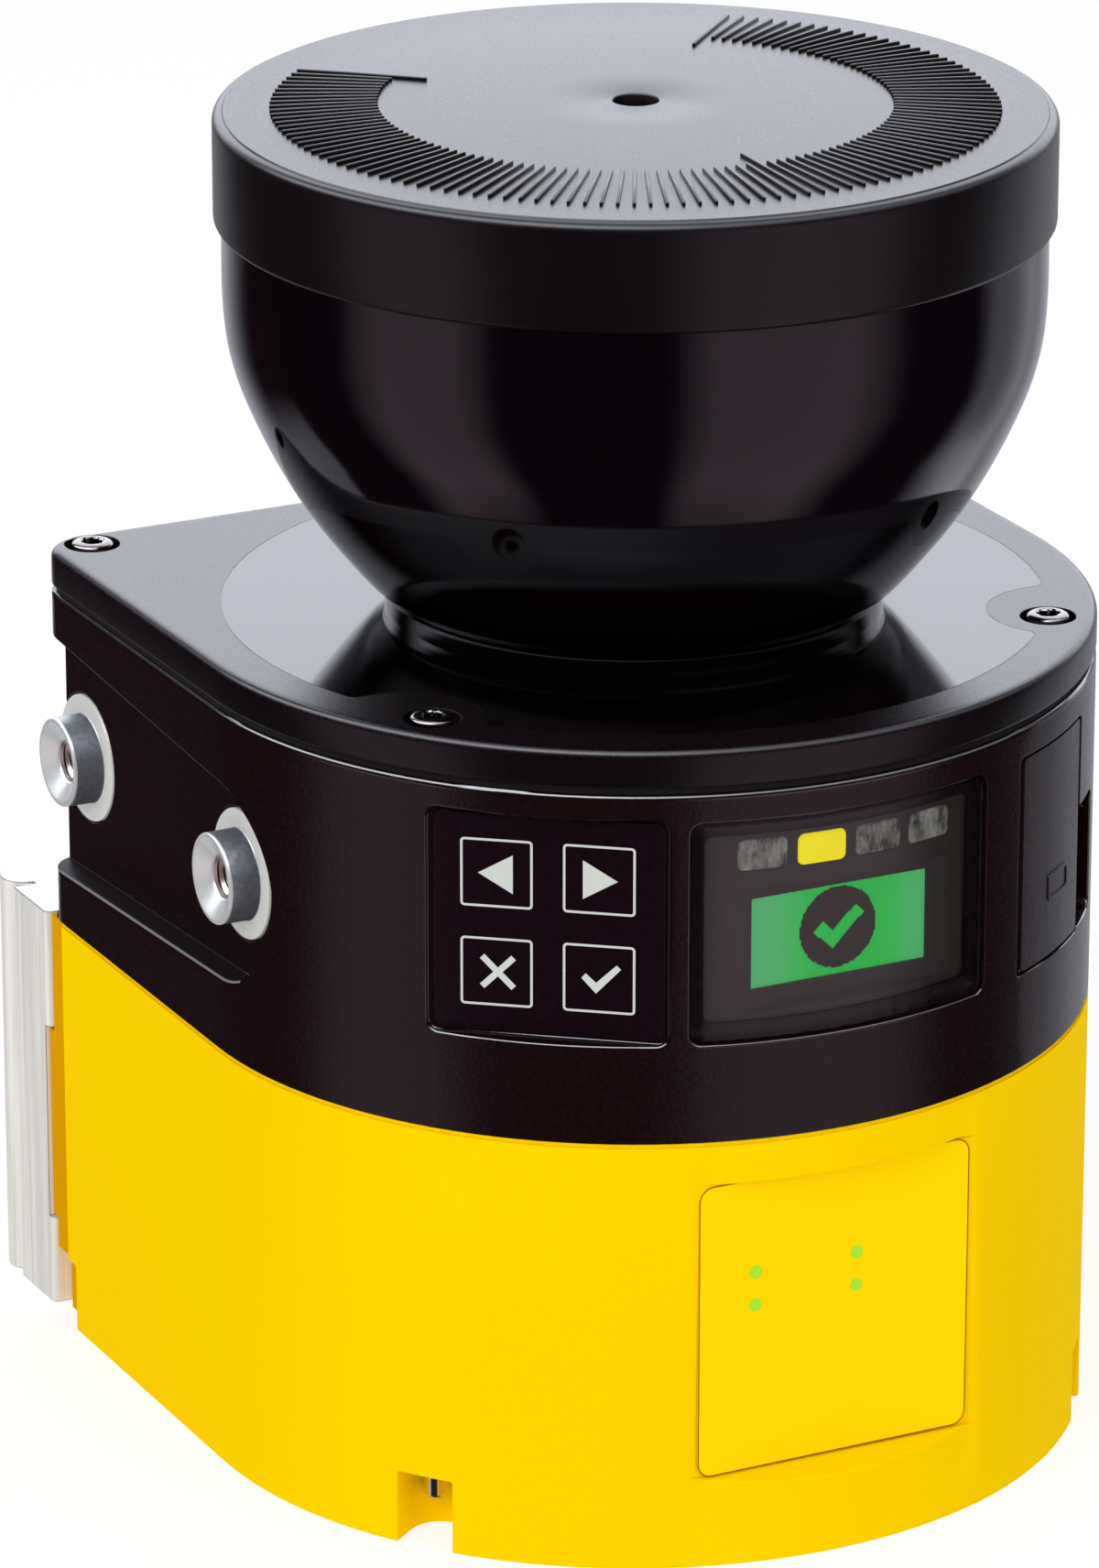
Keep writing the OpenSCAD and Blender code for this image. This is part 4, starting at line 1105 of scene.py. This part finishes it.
def build_bushes(side):
    parts = []
    for y0 in (-0.5, 44.5):
        prof = [(2.1, 46.6), (5, 46.6), (5, 51.1), (7.75, 51.1), (7.85, 51.2), (7.85, 51.76), (7.8, 51.86), (7.68, 51.9), (5.7, 51.9), (5.58, 51.93), (5.51, 52.02), (5.5, 52.15), (5.5, 55.42)]
        prof += [(5.15 + 0.35 * math.cos(rad(a)), 55.45 + 0.35 * math.sin(rad(a))) for a in (15, 30, 45, 60, 75, 90)]
        prof += [(5.0, 55.8), (4.9, 55.76), (4.78, 55.68), (2.82, 54.55), (2.68, 54.42), (2.6, 54.25)]
        z = 54.2
        while z > 47.2:
            prof += [(2.12, z - 0.2), (2.5, z - 0.6)]
            z -= 0.8
        prof += [(2.1, 46.9), (2.1, 46.6)]
        o = lathe("bush", prof, 96, M["alu_turned"], at=lambda r, a, h, y0=y0: (side * h, y0 + r * math.cos(a), 75 + r * math.sin(a)), angle=28)
        for k in ("thread", "alu_side_shade", "alu_flange_lit"):
            o.data.materials.append(M[k])
        # bore faces get the thread metal, collar sides the painted-shade copy and flanges the painted-light copy of the
        # aluminium
        for f in o.data.polygons:
            c = f.center / MM
            q = math.hypot(c.y - y0, c.z - 75)
            if q < 2.6 and abs(c.x) < 54.3:
                f.material_index = 1
            elif q < 5.6 and 51.95 < abs(c.x) < 55.4 and q > 5.3:
                f.material_index = 2
            elif abs(c.x) < 51.95 and q > 5.3:
                f.material_index = 3
        parts.append(o)
    nm = "left" if side < 0 else "right"
    pair = joined(nm + "_bush_pair", parts, 28)
    pair.visible_glossy = False
    place(pair, "housing", nm + "_bushes")


build_bushes(-1)
build_bushes(1)


# --------------------------------------------------------------- other parts

bevelled("usb_cover", "flap_body", M["flap"], 0.22, 3, body="usb_flap", edge=M["flap_edge"])
bevelled("housing_screws", "housing_screw_set", M["steel"], 0.15, 2)
bevelled("plug_screws", "plug_screw_set", M["steel"], 0.15, 2)
bevelled("locating_pins", "pin_set", M["chrome"], 0.12, 2)
bevelled("power_connector", "power_connector_body", M["nickel"], 0.12, 2)
bevelled("network_connectors", "network_connector_bodies", M["nickel"], 0.12, 2)

# ------------------------------------------------------------- studio and end

def area(name, loc, target, size, size_y, power, col=(1, 1, 1), glossy=True):
    ld = bpy.data.lights.new(name, "AREA")
    ld.shape = "RECTANGLE"
    ld.size, ld.size_y = size, size_y
    ld.energy = power
    ld.color = col
    o = link(bpy.data.objects.new(name, ld))
    o.location = loc
    d = Vector(target) - Vector(loc)
    o.rotation_euler = d.to_track_quat("-Z", "Y").to_euler()
    o.visible_glossy = glossy
    o.visible_camera = False
    return o


def sm(x, a, b):
    """Smooth step from 0 at a to 1 at b."""
    t = min(max((x - a) / (b - a), 0.0), 1.0)
    return t * t * (3 - 2 * t)


def band(x, a0, a1, b0, b1):
    return sm(x, a0, a1) * (1 - sm(x, b0, b1))


def surroundings(az, el):
    """Light that the polished surfaces reflect. az runs 0..360, counted from the front towards the left side."""
    c = [0.024, 0.015, 0.019]
    def add(w, l, col=(1, 1, 1)):
        for i in range(3):
            c[i] += w * l * col[i]
    cool, warm = (0.93, 0.965, 1.06), (1.0, 0.80, 0.92)
    add(band(az, 136, 152, 216, 232) * band(el, 0, 9, 52, 66), 2.85, cool)
    add(band(az, 134, 160, 200, 235) * band(el, -70, -20, 0, 9), 0.55, cool)
    add(band(az, 116, 119, 134, 160) * band(el, -80, -60, -36, -24), 0.4, cool)
    add(band(az, 205, 222, 228, 250) * band(el, -80, -60, -40, -27), 0.7, cool)
    add(band(az, 208, 220, 240, 252) * band(el, -50, -30, 5, 20), 0.42, cool)
    add(band(az, 275, 300, 335, 352) * band(el, -80, -50, 0, 20), 0.6, warm)
    add(band(az, 36, 52, 72, 92) * band(el, -70, -50, -10, 10), 0.55, warm)
    high = 1.0 - band(az, 100, 140, 220, 260)
    add(high * sm(el, 40, 54), 2.0, cool)
    a, e, v = rad(az), rad(el), rad(EL)
    d = Vector((math.cos(e) * math.cos(a) + math.cos(v), math.cos(e) * math.sin(a), math.sin(e) + math.sin(v)))
    if d.length > 0.15:
        d.normalize()
        tilt = math.degrees(math.asin(d.z))
        turn = math.degrees(math.atan2(d.y, d.x))
        add(band(tilt, 29, 35, 43, 50) * band(turn, -66, -50, 50, 66) * (0.2 + 0.8 * sm(turn, -16, 6)), 6.5, cool)
    add((1 - high) * sm(el, 62, 75), 1.2, cool)
    return c


def dome():
    """Sphere of light that only shows in reflections."""
    na, ne, r = 240, 120, 3.0
    verts, cols = [], []
    for j in range(ne + 1):
        el = -90 + 180 * j / ne
        for i in range(na):
            az = 360 * i / na
            q = rad(AZ) - rad(az)
            verts.append((r * math.sin(q) * math.cos(rad(el)), -r * math.cos(q) * math.cos(rad(el)), 0.1 + r * math.sin(rad(el))))
            cols.append(surroundings(az, el))
    faces = [(j * na + i, j * na + (i + 1) % na, (j + 1) * na + (i + 1) % na, (j + 1) * na + i) for j in range(ne) for i in range(na)]
    me = bpy.data.meshes.new("light_dome")
    me.from_pydata(verts, [], faces)
    at = me.color_attributes.new("glow", "FLOAT_COLOR", "POINT")
    for k, c in enumerate(cols):
        at.data[k].color = (c[0], c[1], c[2], 1.0)
    o = link(bpy.data.objects.new("light_dome", me))
    m = bpy.data.materials.new("light_dome")
    m.use_nodes = True
    t = m.node_tree
    t.nodes.clear()
    em = t.nodes.new("ShaderNodeEmission")
    out = t.nodes.new("ShaderNodeOutputMaterial")
    an = t.nodes.new("ShaderNodeAttribute")
    an.attribute_name = "glow"
    t.links.new(an.outputs["Color"], em.inputs["Color"])
    t.links.new(em.outputs[0], out.inputs[0])
    m.cycles.emission_sampling = "NONE"
    me.materials.append(m)
    o.visible_camera = False
    o.visible_diffuse = False
    o.visible_shadow = False
    o.visible_transmission = False


def studio():
    me = bpy.data.meshes.new("floor")
    s = 6.0
    me.from_pydata([(-s, -s, 0), (s, -s, 0), (s, s, 0), (-s, s, 0)], [], [(0, 1, 2, 3)])
    fl = link(bpy.data.objects.new("floor", me))
    m = Mat("floor_paper")
    m.color_from(m.mix(m.noise(3, 2), srgb(150, 150, 150), srgb(156, 156, 156)))
    m.set(rough=0.9, spec=0.0, emit=(1, 1, 1, 1), emit_s=0.76)
    m.m.cycles.emission_sampling = "NONE"
    me.materials.append(m.m)
    fl.visible_glossy = False
    w = bpy.data.worlds.new("studio")
    scene.world = w
    w.use_nodes = True
    bg = w.node_tree.nodes["Background"]
    bg.inputs[0].default_value = (0.95, 0.96, 1.0, 1)
    bg.inputs[1].default_value = 0.50
    area("key_left", (-1.9, -1.1, 1.4), (0, 0, 0.08), 1.4, 1.4, 23, glossy=False)
    area("key_front", (0.5, -2.3, 1.2), (0, 0, 0.06), 1.6, 1.2, 10, glossy=False)
    area("top_soft", (0.2, -0.2, 2.2), (0, 0, 0.08), 1.6, 1.6, 8, glossy=False)
    dome()



studio()
scene.view_settings.view_transform = "Standard"
scene.view_settings.look = "None"
scene.cycles.use_denoising = True
